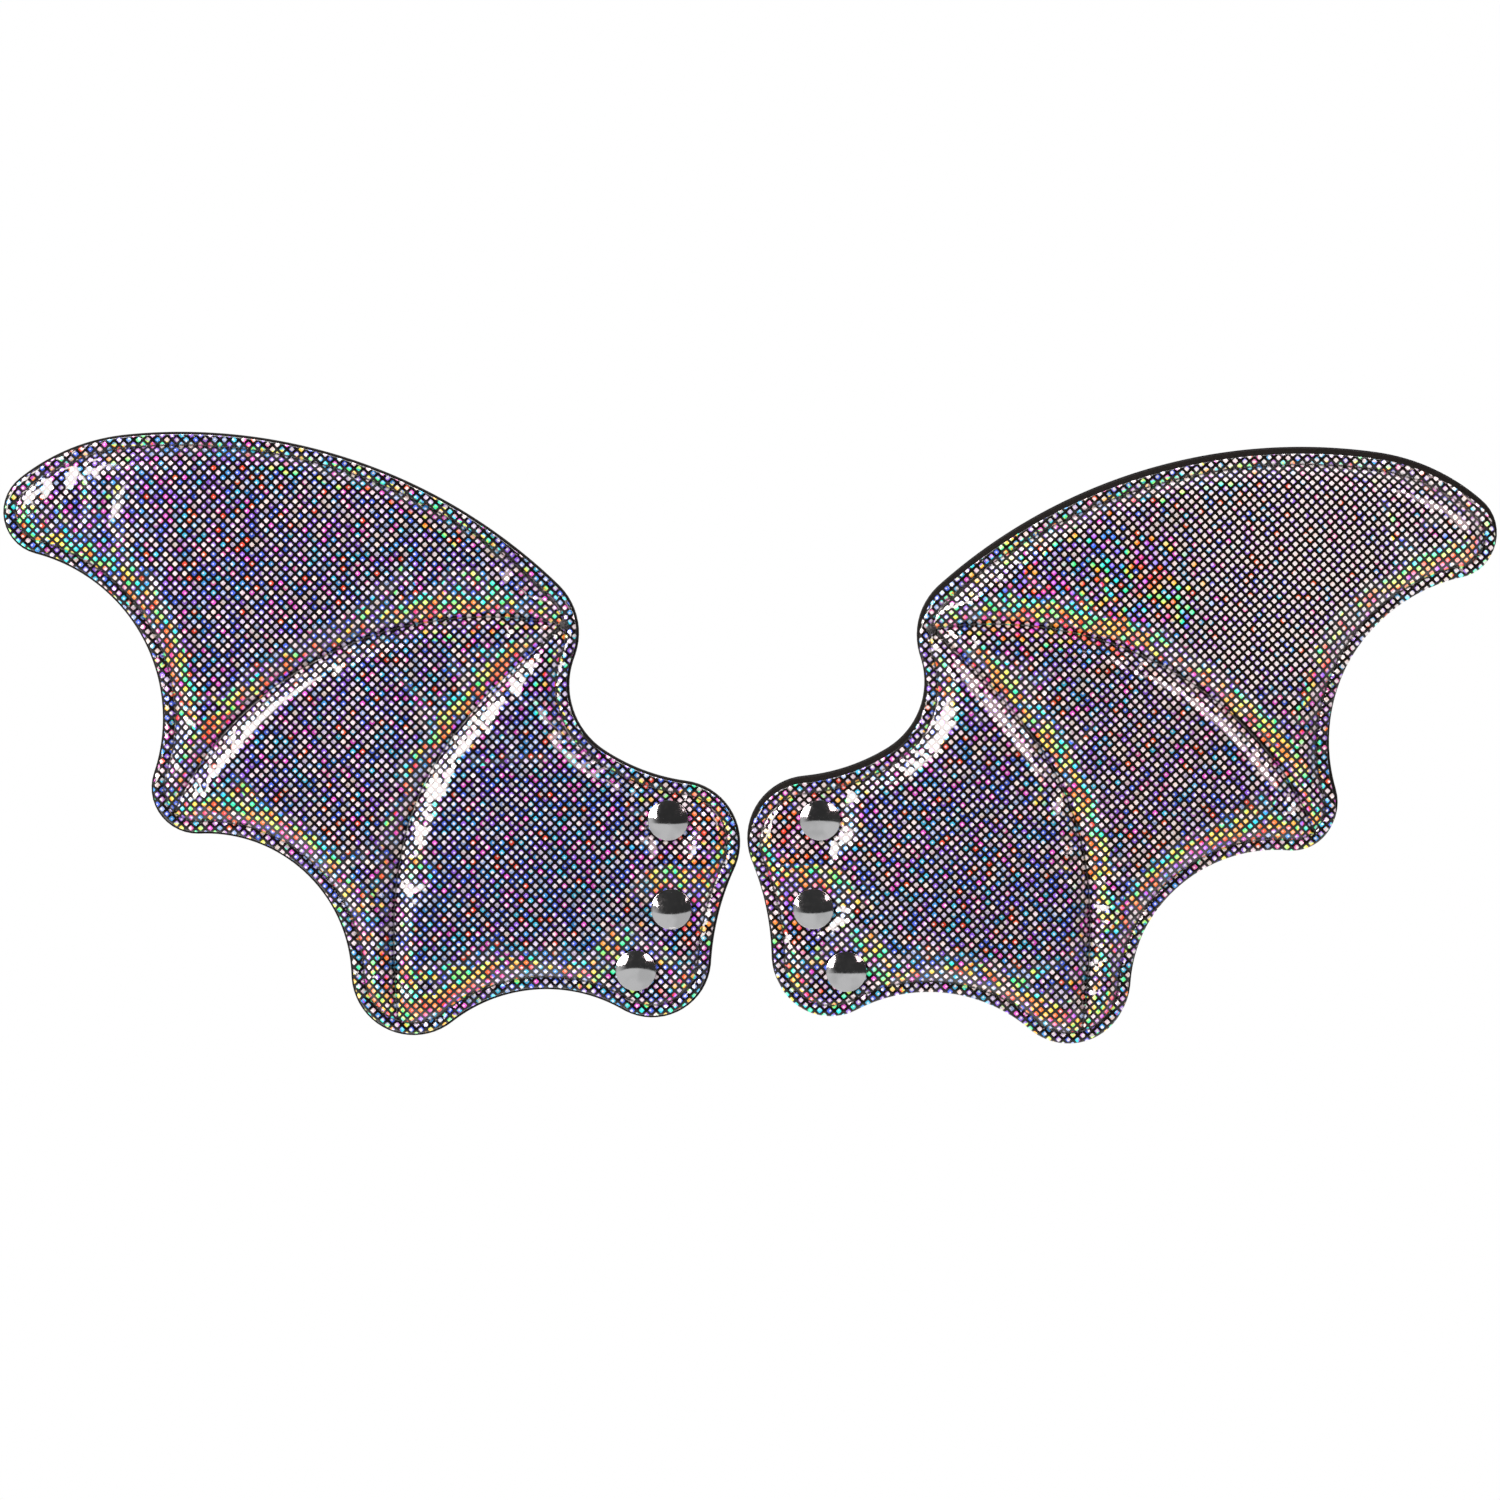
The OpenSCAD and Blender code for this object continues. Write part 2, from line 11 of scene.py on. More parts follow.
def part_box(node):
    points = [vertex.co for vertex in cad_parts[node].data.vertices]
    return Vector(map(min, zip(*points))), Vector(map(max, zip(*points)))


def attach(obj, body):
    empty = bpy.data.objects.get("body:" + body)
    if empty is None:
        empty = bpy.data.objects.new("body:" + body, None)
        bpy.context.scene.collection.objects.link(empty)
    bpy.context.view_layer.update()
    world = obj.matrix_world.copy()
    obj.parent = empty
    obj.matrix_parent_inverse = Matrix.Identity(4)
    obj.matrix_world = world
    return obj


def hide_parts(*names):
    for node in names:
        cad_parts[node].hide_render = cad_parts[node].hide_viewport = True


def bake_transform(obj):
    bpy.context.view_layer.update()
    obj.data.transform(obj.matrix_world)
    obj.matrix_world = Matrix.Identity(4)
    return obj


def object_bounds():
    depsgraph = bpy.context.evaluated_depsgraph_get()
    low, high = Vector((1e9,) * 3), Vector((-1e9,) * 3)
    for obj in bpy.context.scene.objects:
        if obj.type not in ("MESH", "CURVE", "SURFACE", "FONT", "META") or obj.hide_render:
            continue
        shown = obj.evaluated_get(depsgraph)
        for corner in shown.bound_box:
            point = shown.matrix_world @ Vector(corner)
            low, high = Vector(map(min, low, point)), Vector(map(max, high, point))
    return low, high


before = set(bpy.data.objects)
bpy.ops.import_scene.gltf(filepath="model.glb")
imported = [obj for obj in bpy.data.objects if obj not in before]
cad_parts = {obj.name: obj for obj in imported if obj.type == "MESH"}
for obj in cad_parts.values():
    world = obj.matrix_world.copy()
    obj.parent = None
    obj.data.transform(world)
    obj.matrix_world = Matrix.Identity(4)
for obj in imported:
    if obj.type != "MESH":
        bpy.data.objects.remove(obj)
CAD_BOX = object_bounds()

MM = 0.001

# ---- Driving sizes, in millimetres, as the CAD has them ----

WING_LENGTH = 227.0
TIP_RISE, TIP_R = 121.5, 12.5
SHOULDER_R, SHOULDER_ANGLE = 62.0, 51.0
WRIST = (70.0, 84.0, 20.0)
NECK_R, NECK_ANGLE = 25.0, 201.0
ROOT_TOP = (18.5, 19.0, 18.5)
ROOT_LOW = (26.5, -17.0, 17.5)
INNER_FINGER = (100.5, -21.5, 18.5)
OUTER_FINGER = (167.5, 36.0, 13.5)

PAIR_GAP = 3.0
RIGHT_TURN = math.radians(2.3)
RIGHT_RISE = 0.9

SKIN_T = 0.9
FOAM_PRESSED_T = 1.2
PUFF = 4.0
PUFF_SLOPE = 8.0
FRONT_LEVEL = SKIN_T + FOAM_PRESSED_T + SKIN_T
PANEL_LEVEL = FRONT_LEVEL + PUFF

SEAM_INSET = 3.3
STITCH_PITCH = 3.2
STITCH_LENGTH = 2.5
THREAD_R = 0.22

# the radius of each long stretch of the outline, as a share of the span it bridges
TOP_EDGE_SHARE = 1.48
NECK_SIDE_SHARE = 1.24
ROOT_END_SHARE = 2.23
INNER_BAY_SHARE = 0.65
MIDDLE_BAY_SHARE = 0.52
OUTER_BAY_SHARE = 0.55

# where the finger seams meet the edge seam, as angles on the lobes, and how they leave both ends:
# angle and share at the knot, angle and share at the finger
KNOT_ANGLE = 171
OUTER_END_ANGLE = -47
INNER_END_ANGLE = -72
OUTER_SEAM_FORM = (11, 0.46, 112, 0.28)
INNER_SEAM_FORM = (-39, 0.47, 85, 0.43)

FOLD_MIDDLE = np.array([53.5, 13.0])
FOLD_LEAN = math.radians(13)
FOLD_LENGTH = 68.0
FLAP_T = 1.6
FLAP_INSET = 4.6
FLAP_RUN = 12.0
ANCHOR_W = 6.0
FOLD_GAP = 2.2
LACE_GAP = 5.0
EYELET_T = 0.6
FLAP_SEAM_INSET = 2.0
FOLD_LEVEL = -0.35 - FLAP_T / 2
FLEX_OFFSET = 10.5

SNAPS = np.array([(21.5, 26.0), (20.5, -1.5), (31.5, -20.5)])
CAP_R = 6.25
CAP_H = 2.4

MIDDLE_LEVEL = (PANEL_LEVEL - LACE_GAP - FLAP_T - EYELET_T) / 2


# ---- Outline maths: a circle is (x, y, r), and a negative r bends the outline inwards ----

def polar(r, degrees):
    a = math.radians(degrees)
    return np.array([r * math.cos(a), r * math.sin(a)])


def from_centre(c, r, degrees):
    return np.array(c[:2]) + polar(r, degrees)


def span(a, b):
    return math.hypot(b[0] - a[0], b[1] - a[1])


def bridge(a, b, r):
    """The circle of signed radius r that touches the circles a and b."""
    d = span(a, b)
    da, db = abs(a[2] - r), abs(b[2] - r)
    along = (da * da - db * db + d * d) / (2 * d)
    aside = math.copysign(math.sqrt(max(0.0, da * da - along * along)), r)
    ux, uy = (b[0] - a[0]) / d, (b[1] - a[1]) / d
    return (a[0] + ux * along - uy * aside, a[1] + uy * along + ux * aside, r)


def bridge_over(a, b, share):
    """The same circle, with its radius as a share of the distance it bridges."""
    return bridge(a, b, share * span(a, b))


def touch(a, b):
    """Outward direction where neighbouring circles of a chain touch."""
    n = (np.array(b[:2]) - np.array(a[:2])) / (a[2] - b[2])
    return n / np.linalg.norm(n)


def chain_points(chain, inset, spacing):
    """Closed outline along a chain of touching circles, moved inwards by inset."""
    points = []
    for i, here in enumerate(chain):
        n0, n1 = touch(chain[i - 1], here), touch(here, chain[(i + 1) % len(chain)])
        turn = math.atan2(n0[0] * n1[1] - n0[1] * n1[0], float(n0 @ n1))
        side = math.copysign(1.0, here[2])
        # an arc can't turn back on itself, so it goes the long way round; a hair back is rounding
        if turn * side < -0.35:
            turn += 2 * math.pi * side
        r = here[2] - inset
        count = max(2, round(abs(turn * r) / spacing))
        start = math.atan2(n0[1], n0[0])
        a = start + turn * np.arange(count) / count
        points.append(np.stack([here[0] + r * np.cos(a), here[1] + r * np.sin(a)], axis=1))
    return np.concatenate(points)


def curve(p, t):
    """Points at t along a curve with four control points."""
    t = np.asarray(t)[:, None]
    return p[0] * (1 - t) ** 3 + p[1] * 3 * (1 - t) ** 2 * t + p[2] * 3 * (1 - t) * t * t + p[3] * t ** 3


def resample(line, spacing, closed):
    """The same line with points evenly spaced."""
    if closed:
        line = np.concatenate([line, line[:1]])
    run = np.concatenate([[0.0], np.cumsum(np.linalg.norm(np.diff(line, axis=0), axis=1))])
    count = max(2, round(run[-1] / spacing))
    s = np.linspace(0.0, run[-1], count + 1)
    if closed:
        s = s[:-1]
    return np.stack([np.interp(s, run, line[:, k]) for k in range(line.shape[1])], axis=1)


def normals_of(line, closed):
    """Unit normals on the left of a line."""
    if closed:
        d = np.roll(line, -1, axis=0) - np.roll(line, 1, axis=0)
    else:
        d = np.gradient(line, axis=0)
    d = d / np.linalg.norm(d, axis=1)[:, None]
    return np.stack([-d[:, 1], d[:, 0]], axis=1)


# ---- The wing's outline and seams ----

TIP = (WING_LENGTH - TIP_R, TIP_RISE, TIP_R)
SHOULDER = (*from_centre(TIP, TIP_R - SHOULDER_R, SHOULDER_ANGLE), SHOULDER_R)
NECK = (*from_centre(WRIST, WRIST[2] + NECK_R, NECK_ANGLE), -NECK_R)
TOP_EDGE = bridge_over(SHOULDER, WRIST, TOP_EDGE_SHARE)
WING_CHAIN = [
    TIP, SHOULDER, TOP_EDGE, WRIST, NECK,
    bridge_over(NECK, ROOT_TOP, -NECK_SIDE_SHARE),
    ROOT_TOP,
    bridge_over(ROOT_TOP, ROOT_LOW, -ROOT_END_SHARE),
    ROOT_LOW,
    bridge_over(ROOT_LOW, INNER_FINGER, -INNER_BAY_SHARE),
    INNER_FINGER,
    bridge_over(INNER_FINGER, OUTER_FINGER, -MIDDLE_BAY_SHARE),
    OUTER_FINGER,
    bridge_over(OUTER_FINGER, TIP, -OUTER_BAY_SHARE),
]

LINE_STEP = 0.4


def on_seam(lobe, angle):
    """The place on the edge seam at that angle round a lobe."""
    return from_centre(lobe, lobe[2] - SEAM_INSET, angle)


KNOT = on_seam(WRIST, KNOT_ANGLE)


def seam_curve(end, form):
    """A finger seam from the knot to its end."""
    start_angle, start_share, end_angle, end_share = form
    length = np.linalg.norm(end - KNOT)
    leaving = KNOT + polar(start_share * length, start_angle)
    arriving = end + polar(end_share * length, end_angle)
    return resample(curve([KNOT, leaving, arriving, end], np.linspace(0, 1, 200)), LINE_STEP, False)


EDGE_LINE = resample(chain_points(WING_CHAIN, 0.0, LINE_STEP), LINE_STEP, True)
EDGE_SEAM = resample(chain_points(WING_CHAIN, SEAM_INSET, LINE_STEP), LINE_STEP, True)
OUTER_SEAM = seam_curve(on_seam(OUTER_FINGER, OUTER_END_ANGLE), OUTER_SEAM_FORM)
INNER_SEAM = seam_curve(on_seam(INNER_FINGER, INNER_END_ANGLE), INNER_SEAM_FORM)
SEAMS = ((EDGE_SEAM, True), (OUTER_SEAM, False), (INNER_SEAM, False))

FOLD_ALONG = np.array([-math.sin(FOLD_LEAN), math.cos(FOLD_LEAN)])
FOLD_INWARD = np.array([-math.cos(FOLD_LEAN), -math.sin(FOLD_LEAN)])


def inward_of_fold(p):
    """How far points lie from the fold of the flap, towards the root end."""
    return (p - FOLD_MIDDLE) @ FOLD_INWARD


# ---- Standing the wings up, as the CAD does ----

def turned(x, y):
    c, s = math.cos(RIGHT_TURN), math.sin(RIGHT_TURN)
    return x * c + y * s, -x * s + y * c


def pair_centre():
    left_reach = PAIR_GAP / 2 + WING_LENGTH
    right_reach = PAIR_GAP / 2 + turned(*TIP[:2])[0] + TIP_R
    top = TOP_EDGE[1] + TOP_EDGE[2]
    low = min(INNER_FINGER[1], turned(*INNER_FINGER[:2])[1] + RIGHT_RISE) - INNER_FINGER[2]
    return (right_reach - left_reach) / 2, (top + low) / 2


CENTRE_X, CENTRE_Z = pair_centre()


def place(side, p):
    """Points of a wing lying flat, in millimetres, at their place in the frame, in metres."""
    p = np.asarray(p, float)
    x, y, z = p[..., 0], p[..., 1], p[..., 2]
    if side == "left":
        wx, wz = -(PAIR_GAP / 2 + x), y
    else:
        tx, ty = turned(x, y)
        wx, wz = PAIR_GAP / 2 + tx, RIGHT_RISE + ty
    return np.stack([wx - CENTRE_X, -(z - MIDDLE_LEVEL), wz - CENTRE_Z], axis=-1) * MM


# ---- Distances ----

def nearest(points, line, closed):
    """Distance of each point from a line, and the nearest place on it."""
    a = line if closed else line[:-1]
    b = np.roll(line, -1, axis=0) if closed else line[1:]
    ab = b - a
    length2 = (ab ** 2).sum(axis=1)
    middles = (a + b) / 2
    distance = np.empty(len(points))
    foot = np.empty((len(points), 2))
    for low in range(0, len(points), 2000):
        q = points[low:low + 2000]
        i = ((q[:, None, :] - middles[None]) ** 2).sum(axis=2).argmin(axis=1)
        best = np.full(len(q), 1e9)
        place_on = np.zeros((len(q), 2))
        for step in (-1, 0, 1):
            k = (i + step) % len(a) if closed else np.clip(i + step, 0, len(a) - 1)
            t = np.clip(((q - a[k]) * ab[k]).sum(axis=1) / length2[k], 0, 1)
            f = a[k] + ab[k] * t[:, None]
            d = np.linalg.norm(q - f, axis=1)
            better = d < best
            best[better] = d[better]
            place_on[better] = f[better]
        distance[low:low + 2000] = best
        foot[low:low + 2000] = place_on
    return distance, foot


def seam_distances(points):
    """Distance and nearest place for each of the three seams."""
    return [nearest(points, line, closed) for line, closed in SEAMS]


def closest_seam(found):
    return np.min([d for d, _ in found], axis=0)


def cap_distance(points):
    """Distance from the middle of the nearest snap cap."""
    return np.min([np.linalg.norm(points - snap, axis=1) for snap in SNAPS], axis=0)


def smooth(x, low, high):
    """A soft step from 0 at low to 1 at high."""
    t = np.clip((x - low) / (high - low), 0, 1)
    return t * t * (3 - 2 * t)


def smooth_noise(points, scale, seed):
    """Soft value noise in -1 to 1, the same at every run."""
    rng = np.random.default_rng(seed)
    table = rng.uniform(-1, 1, (64, 64))
    q = points / scale + 17.3
    cell = np.floor(q).astype(int)
    f = q - cell
    f = f * f * (3 - 2 * f)
    x0, y0 = cell[:, 0] % 64, cell[:, 1] % 64
    x1, y1 = (x0 + 1) % 64, (y0 + 1) % 64
    low = table[x0, y0] * (1 - f[:, 0]) + table[x1, y0] * f[:, 0]
    high = table[x0, y1] * (1 - f[:, 0]) + table[x1, y1] * f[:, 0]
    return low * (1 - f[:, 1]) + high * f[:, 1]


# ---- Relief of the padded front ----

SEAM_BITE = 0.35
EDGE_BITE = 0.22
BORDER_PUFF = 0.22
RISE_POWER = 1.9
WELL_SLOPE = 8.0
WELL_POWER = 1.35
WELL_RIM = 0.4
PRINT_DRAW = 0.45
CREASE_W = 0.42
SEED = {"left": 5, "right": 31}
TIP_PUFF = {"left": 0.42, "right": 1.0}
ROOT_PUFF = 0.55


def rise(d, slope, power=RISE_POWER):
    """Share of the full puff at distance d from a seam."""
    return 1 - (1 - np.clip(d / slope, 0, 1)) ** power


class Relief:
    """Distances and heights of the padded front at given points of the flat wing."""

    def __init__(self, points, side):
        self.points = points
        self.edge = nearest(points, EDGE_LINE, True)[0]
        self.seams = seam_distances(points)
        self.inside = self.edge > SEAM_INSET
        self.side = side
        self.seed = SEED[side]

    def height(self):
        p = self.points
        share = np.ones(len(p))
        for d, _ in self.seams:
            share = share * rise(d, PUFF_SLOPE)
        for snap in SNAPS:
            d = np.linalg.norm(p - snap, axis=1) - CAP_R - WELL_RIM
            share = share * rise(d, WELL_SLOPE, WELL_POWER)
        share = share * (1 - (1 - TIP_PUFF[self.side]) * smooth(p[:, 0], 170, 215))
        share = share * (1 - (1 - ROOT_PUFF) * (1 - smooth(p[:, 0], 34, 62)))
        d_seam = closest_seam(self.seams)
        valley = np.max([bite * np.exp(-(d / 0.7) ** 2) for bite, (d, _) in
                         zip((EDGE_BITE, SEAM_BITE, SEAM_BITE), self.seams)], axis=0)
        border = BORDER_PUFF * np.sin(math.pi * np.clip(self.edge / SEAM_INSET, 0, 1))
        near = np.exp(-(d_seam / 4.0))
        pucker = 0.16 * smooth_noise(p, 2.6, self.seed) * near * np.clip(d_seam / 1.2, 0, 1)
        swell = 0.16 * smooth_noise(p, 16.0, self.seed + 1) + 0.07 * smooth_noise(p, 7.0, self.seed + 2)
        inner = FRONT_LEVEL + PUFF * share + (pucker + swell) * share
        outer = FRONT_LEVEL + border
        return np.where(self.inside, inner, outer) - valley

    def print_shift(self):
        """How far the flat film is drawn towards the seams by the slopes beside them."""
        s = np.linspace(0, PUFF_SLOPE, 200)
        steep = np.gradient(PUFF * rise(s, PUFF_SLOPE), s)
        extra = np.sqrt(1 + steep ** 2) - 1
        left = np.concatenate([[0.0], np.cumsum((extra[1:] + extra[:-1]) / 2 * np.diff(s))])
        left = left[-1] - left
        shift = np.zeros_like(self.points)
        left *= PRINT_DRAW
        for d, foot in self.seams:
            way = (foot - self.points) / np.maximum(d, 1e-6)[:, None]
            shift += way * (np.interp(d, s, left, right=0.0) * self.inside)[:, None]
        return shift


# ---- Points and triangles of a flat shape ----

def thin_out(groups):
    """Points in the wing, group by group, without those closer than its distance to an earlier one."""
    kept = []
    cells = {}
    size = 1.2
    for points, apart in groups:
        for p in points[(nearest(points, EDGE_LINE, True)[0] > 0.1) & in_outline(points)]:
            cx, cy = int(math.floor(p[0] / size)), int(math.floor(p[1] / size))
            around = [(ix, iy) for ix in (cx - 1, cx, cx + 1) for iy in (cy - 1, cy, cy + 1)]
            near = [q for key in around for q in cells.get(key, ())]
            if all((q[0] - p[0]) ** 2 + (q[1] - p[1]) ** 2 >= apart * apart for q in near):
                cells.setdefault((cx, cy), []).append((p[0], p[1]))
                kept.append(p)
    return np.array(kept)


def lattice(low, high, spacing):
    """Points of a triangular lattice that fills a box."""
    rows = np.arange(low[1], high[1], spacing * math.sqrt(3) / 2)
    points = []
    for k, y in enumerate(rows):
        x = np.arange(low[0] + (k % 2) * spacing / 2, high[0], spacing)
        points.append(np.stack([x, np.full(len(x), y)], axis=1))
    return np.concatenate(points)


def triangles_inside(boundary, inner):
    """Vertices and counter-clockwise triangles that fill a closed boundary; the boundary comes first."""
    points = np.concatenate([boundary, inner])
    loop = list(range(len(boundary)))
    result = delaunay_2d_cdt([Vector(p) for p in points], [], [loop], 1, 1e-5)
    vertices = np.array([tuple(v) for v in result[0]])
    faces = np.array([tuple(f) for f in result[2]])
    return vertices, faces


def boundary_loop(faces):
    """The rim of a triangulated sheet, as vertex numbers in order."""
    directed = {}
    edges = set()
    for f in faces:
        for a, b in ((f[0], f[1]), (f[1], f[2]), (f[2], f[0])):
            edges.add((int(a), int(b)))
    for a, b in edges:
        if (b, a) not in edges:
            directed[a] = b
    start = next(iter(directed))
    loop = [start]
    while directed[loop[-1]] != start:
        loop.append(directed[loop[-1]])
    return loop


def wing_layout(rings, seam_offsets, ring_step, spacing):
    """Triangulated outline with points gathered along the seams and round the snaps."""
    boundary = resample(chain_points(WING_CHAIN, 0.0, 0.3), ring_step, True)
    groups = []
    for inset in rings:
        groups.append((resample(chain_points(WING_CHAIN, inset, 0.3), ring_step, True), 0.3 * ring_step))
    for line in (OUTER_SEAM, INNER_SEAM):
        base = resample(line, ring_step, False)
        side = normals_of(base, False)
        for off in seam_offsets:
            for sign in ((1, -1) if off else (1,)):
                groups.append((base + side * off * sign, 0.3 * ring_step))
    for r in (CAP_R - 1.5, CAP_R - 0.3, CAP_R + WELL_RIM, CAP_R + 1.5, CAP_R + 3.0, CAP_R + 4.6):
        a = np.linspace(0, 2 * math.pi, 56, endpoint=False)
        circle = np.stack([np.cos(a), np.sin(a)], axis=1) * r
        for snap in SNAPS:
            groups.append((snap + circle, 0.35 * ring_step))
    low, high = boundary.min(axis=0), boundary.max(axis=0)
    groups.append((lattice(low, high, spacing), 0.6 * spacing))
    return triangles_inside(boundary, thin_out(groups))


def in_outline(points, outline=None):
    """Which points lie inside a closed outline, by counting crossings."""
    ring = EDGE_LINE[::3] if outline is None else outline
    a, b = ring, np.roll(ring, -1, axis=0)
    within = np.zeros(len(points), bool)
    x, y = points[:, 0], points[:, 1]
    for (ax, ay), (bx, by) in zip(a, b):
        if ay == by:
            continue
        crosses = (ay > y) != (by > y)
        within ^= crosses & (x < (bx - ax) * (y - ay) / (by - ay) + ax)
    return within


# ---- Meshes ----

def new_piece(name, vertices, faces, uv=None, smooth=True):
    """A mesh object from points in metres; uv is one pair a vertex."""
    mesh = bpy.data.meshes.new(name)
    mesh.from_pydata([tuple(v) for v in vertices], [], [tuple(int(i) for i in f) for f in faces])
    mesh.polygons.foreach_set("use_smooth", [smooth] * len(mesh.polygons))
    if uv is not None:
        layer = mesh.uv_layers.new(name="print")
        corners = np.empty(len(mesh.loops), np.int32)
        mesh.loops.foreach_get("vertex_index", corners)
        layer.data.foreach_set("uv", np.asarray(uv, np.float32)[corners].ravel())
    mesh.update()
    piece = bpy.data.objects.new(name, mesh)
    bpy.context.scene.collection.objects.link(piece)
    return piece


def point_values(piece, name, values):
    """Stores one number a vertex, for a material to read."""
    attribute = piece.data.attributes.new(name, "FLOAT", "POINT")
    attribute.data.foreach_set("value", np.asarray(values, np.float32))


def flip_for(side, faces):
    """The left wing is mirrored, so its faces turn over."""
    return [tuple(reversed(f)) for f in faces] if side == "left" else [tuple(f) for f in faces]


def closed_sheet(flat, faces, top, bottom, edge_out=0.0):
    """A closed sheet between two heights; edge_out swells its rim outwards half way up."""
    n = len(flat)
    loop = boundary_loop(faces)
    points = [np.column_stack([flat, top]), np.column_stack([flat, bottom])]
    all_faces = [tuple(f) for f in faces] + [tuple(int(i) + n for i in f[::-1]) for f in faces]
    rim = flat[loop]
    out = -normals_of(rim, True)
    middle = np.column_stack([rim + out * edge_out, (top[loop] + bottom[loop]) / 2])
    points.append(middle)
    m = len(loop)
    for k in range(m):
        a, b = loop[k], loop[(k + 1) % m]
        ma, mb = 2 * n + k, 2 * n + (k + 1) % m
        all_faces.append((b, a, ma, mb))
        all_faces.append((mb, ma, a + n, b + n))
    return np.concatenate(points), all_faces


PRINT_SPAN = 256.0


def print_uv(points):
    """Flat places on the film as texture coordinates."""
    return np.stack([points[:, 0] / PRINT_SPAN, (points[:, 1] + 64.0) / PRINT_SPAN], axis=1)


def stitch_tubes(path, pitch, length, radius, lift, dip):
    """A short bowed tube of thread for every stitch along a path of (x, y, z) points."""
    sides, rings = 6, 7
    run = np.concatenate([[0.0], np.cumsum(np.linalg.norm(np.diff(path, axis=0), axis=1))])
    count = max(1, int(run[-1] // pitch))
    step = run[-1] / count
    round_angles = 2 * math.pi * np.arange(sides)[:, None] / sides
    vertices, faces, uvs = [], [], []
    for k in range(count):
        t = np.linspace(0, 1, rings)
        s = k * step + (step - length) / 2 + t * length
        line = np.stack([np.interp(s, run, path[:, j]) for j in range(3)], axis=1)
        bow = np.sin(math.pi * t)
        line[:, 2] += np.sign(lift) * (-dip + (abs(lift) + dip) * np.minimum(1, 1.6 * bow))
        way = np.gradient(line, axis=0)
        way /= np.linalg.norm(way, axis=1)[:, None]
        side = np.cross(way, [0, 0, 1.0])
        side /= np.linalg.norm(side, axis=1)[:, None]
        up = np.cross(side, way)
        r = radius * (0.55 + 0.45 * np.minimum(1, 2.5 * bow))
        for i in range(rings):
            ring = np.cos(round_angles) * side[i] + np.sin(round_angles) * up[i]
            vertices.append(line[i] + r[i] * ring)
            uvs += [(t[i] * length / 10, j / sides) for j in range(sides)]
        base = k * rings * sides
        for low in range(base, base + (rings - 1) * sides, sides):
            for j in range(sides):
                a, b = low + j, low + (j + 1) % sides
                faces.append((a, a + sides, b + sides, b))
        faces.append(tuple(range(base, base + sides)))
        faces.append(tuple(reversed(range(base + (rings - 1) * sides, base + rings * sides))))
    return np.concatenate(vertices), faces, np.array(uvs)


def joined(parts):
    """Several (vertices, faces, uvs) as one."""
    vertices, faces, uvs, n = [], [], [], 0
    for v, f, u in parts:
        vertices.append(v)
        uvs.append(u)
        faces += [tuple(i + n for i in face) for face in f]
        n += len(v)
    return np.concatenate(vertices), faces, np.concatenate(uvs)


def lathe(profile, centre, steps=64):
    """A closed turned solid: profile is (distance from the axis, level), from end to end of the axis."""
    profile = np.array(profile, float)
    a = np.linspace(0, 2 * math.pi, steps, endpoint=False)
    vertices = [(centre[0], centre[1], profile[0, 1])]
    for r, z in profile[1:-1]:
        vertices += list(zip(centre[0] + r * np.cos(a), centre[1] + r * np.sin(a), np.full(steps, z)))
    vertices.append((centre[0], centre[1], profile[-1, 1]))
    last = len(vertices) - 1
    faces = []
    rings = len(profile) - 2
    for j in range(steps):
        k = (j + 1) % steps
        faces.append((0, 1 + k, 1 + j))
        for i in range(rings - 1):
            low, high = 1 + i * steps, 1 + (i + 1) * steps
            faces.append((low + j, low + k, high + k, high + j))
        low = 1 + (rings - 1) * steps
        faces.append((last, low + j, low + k))
    return np.array(vertices), faces, np.array(vertices)[:, :2] / PRINT_SPAN


# ---- Materials ----

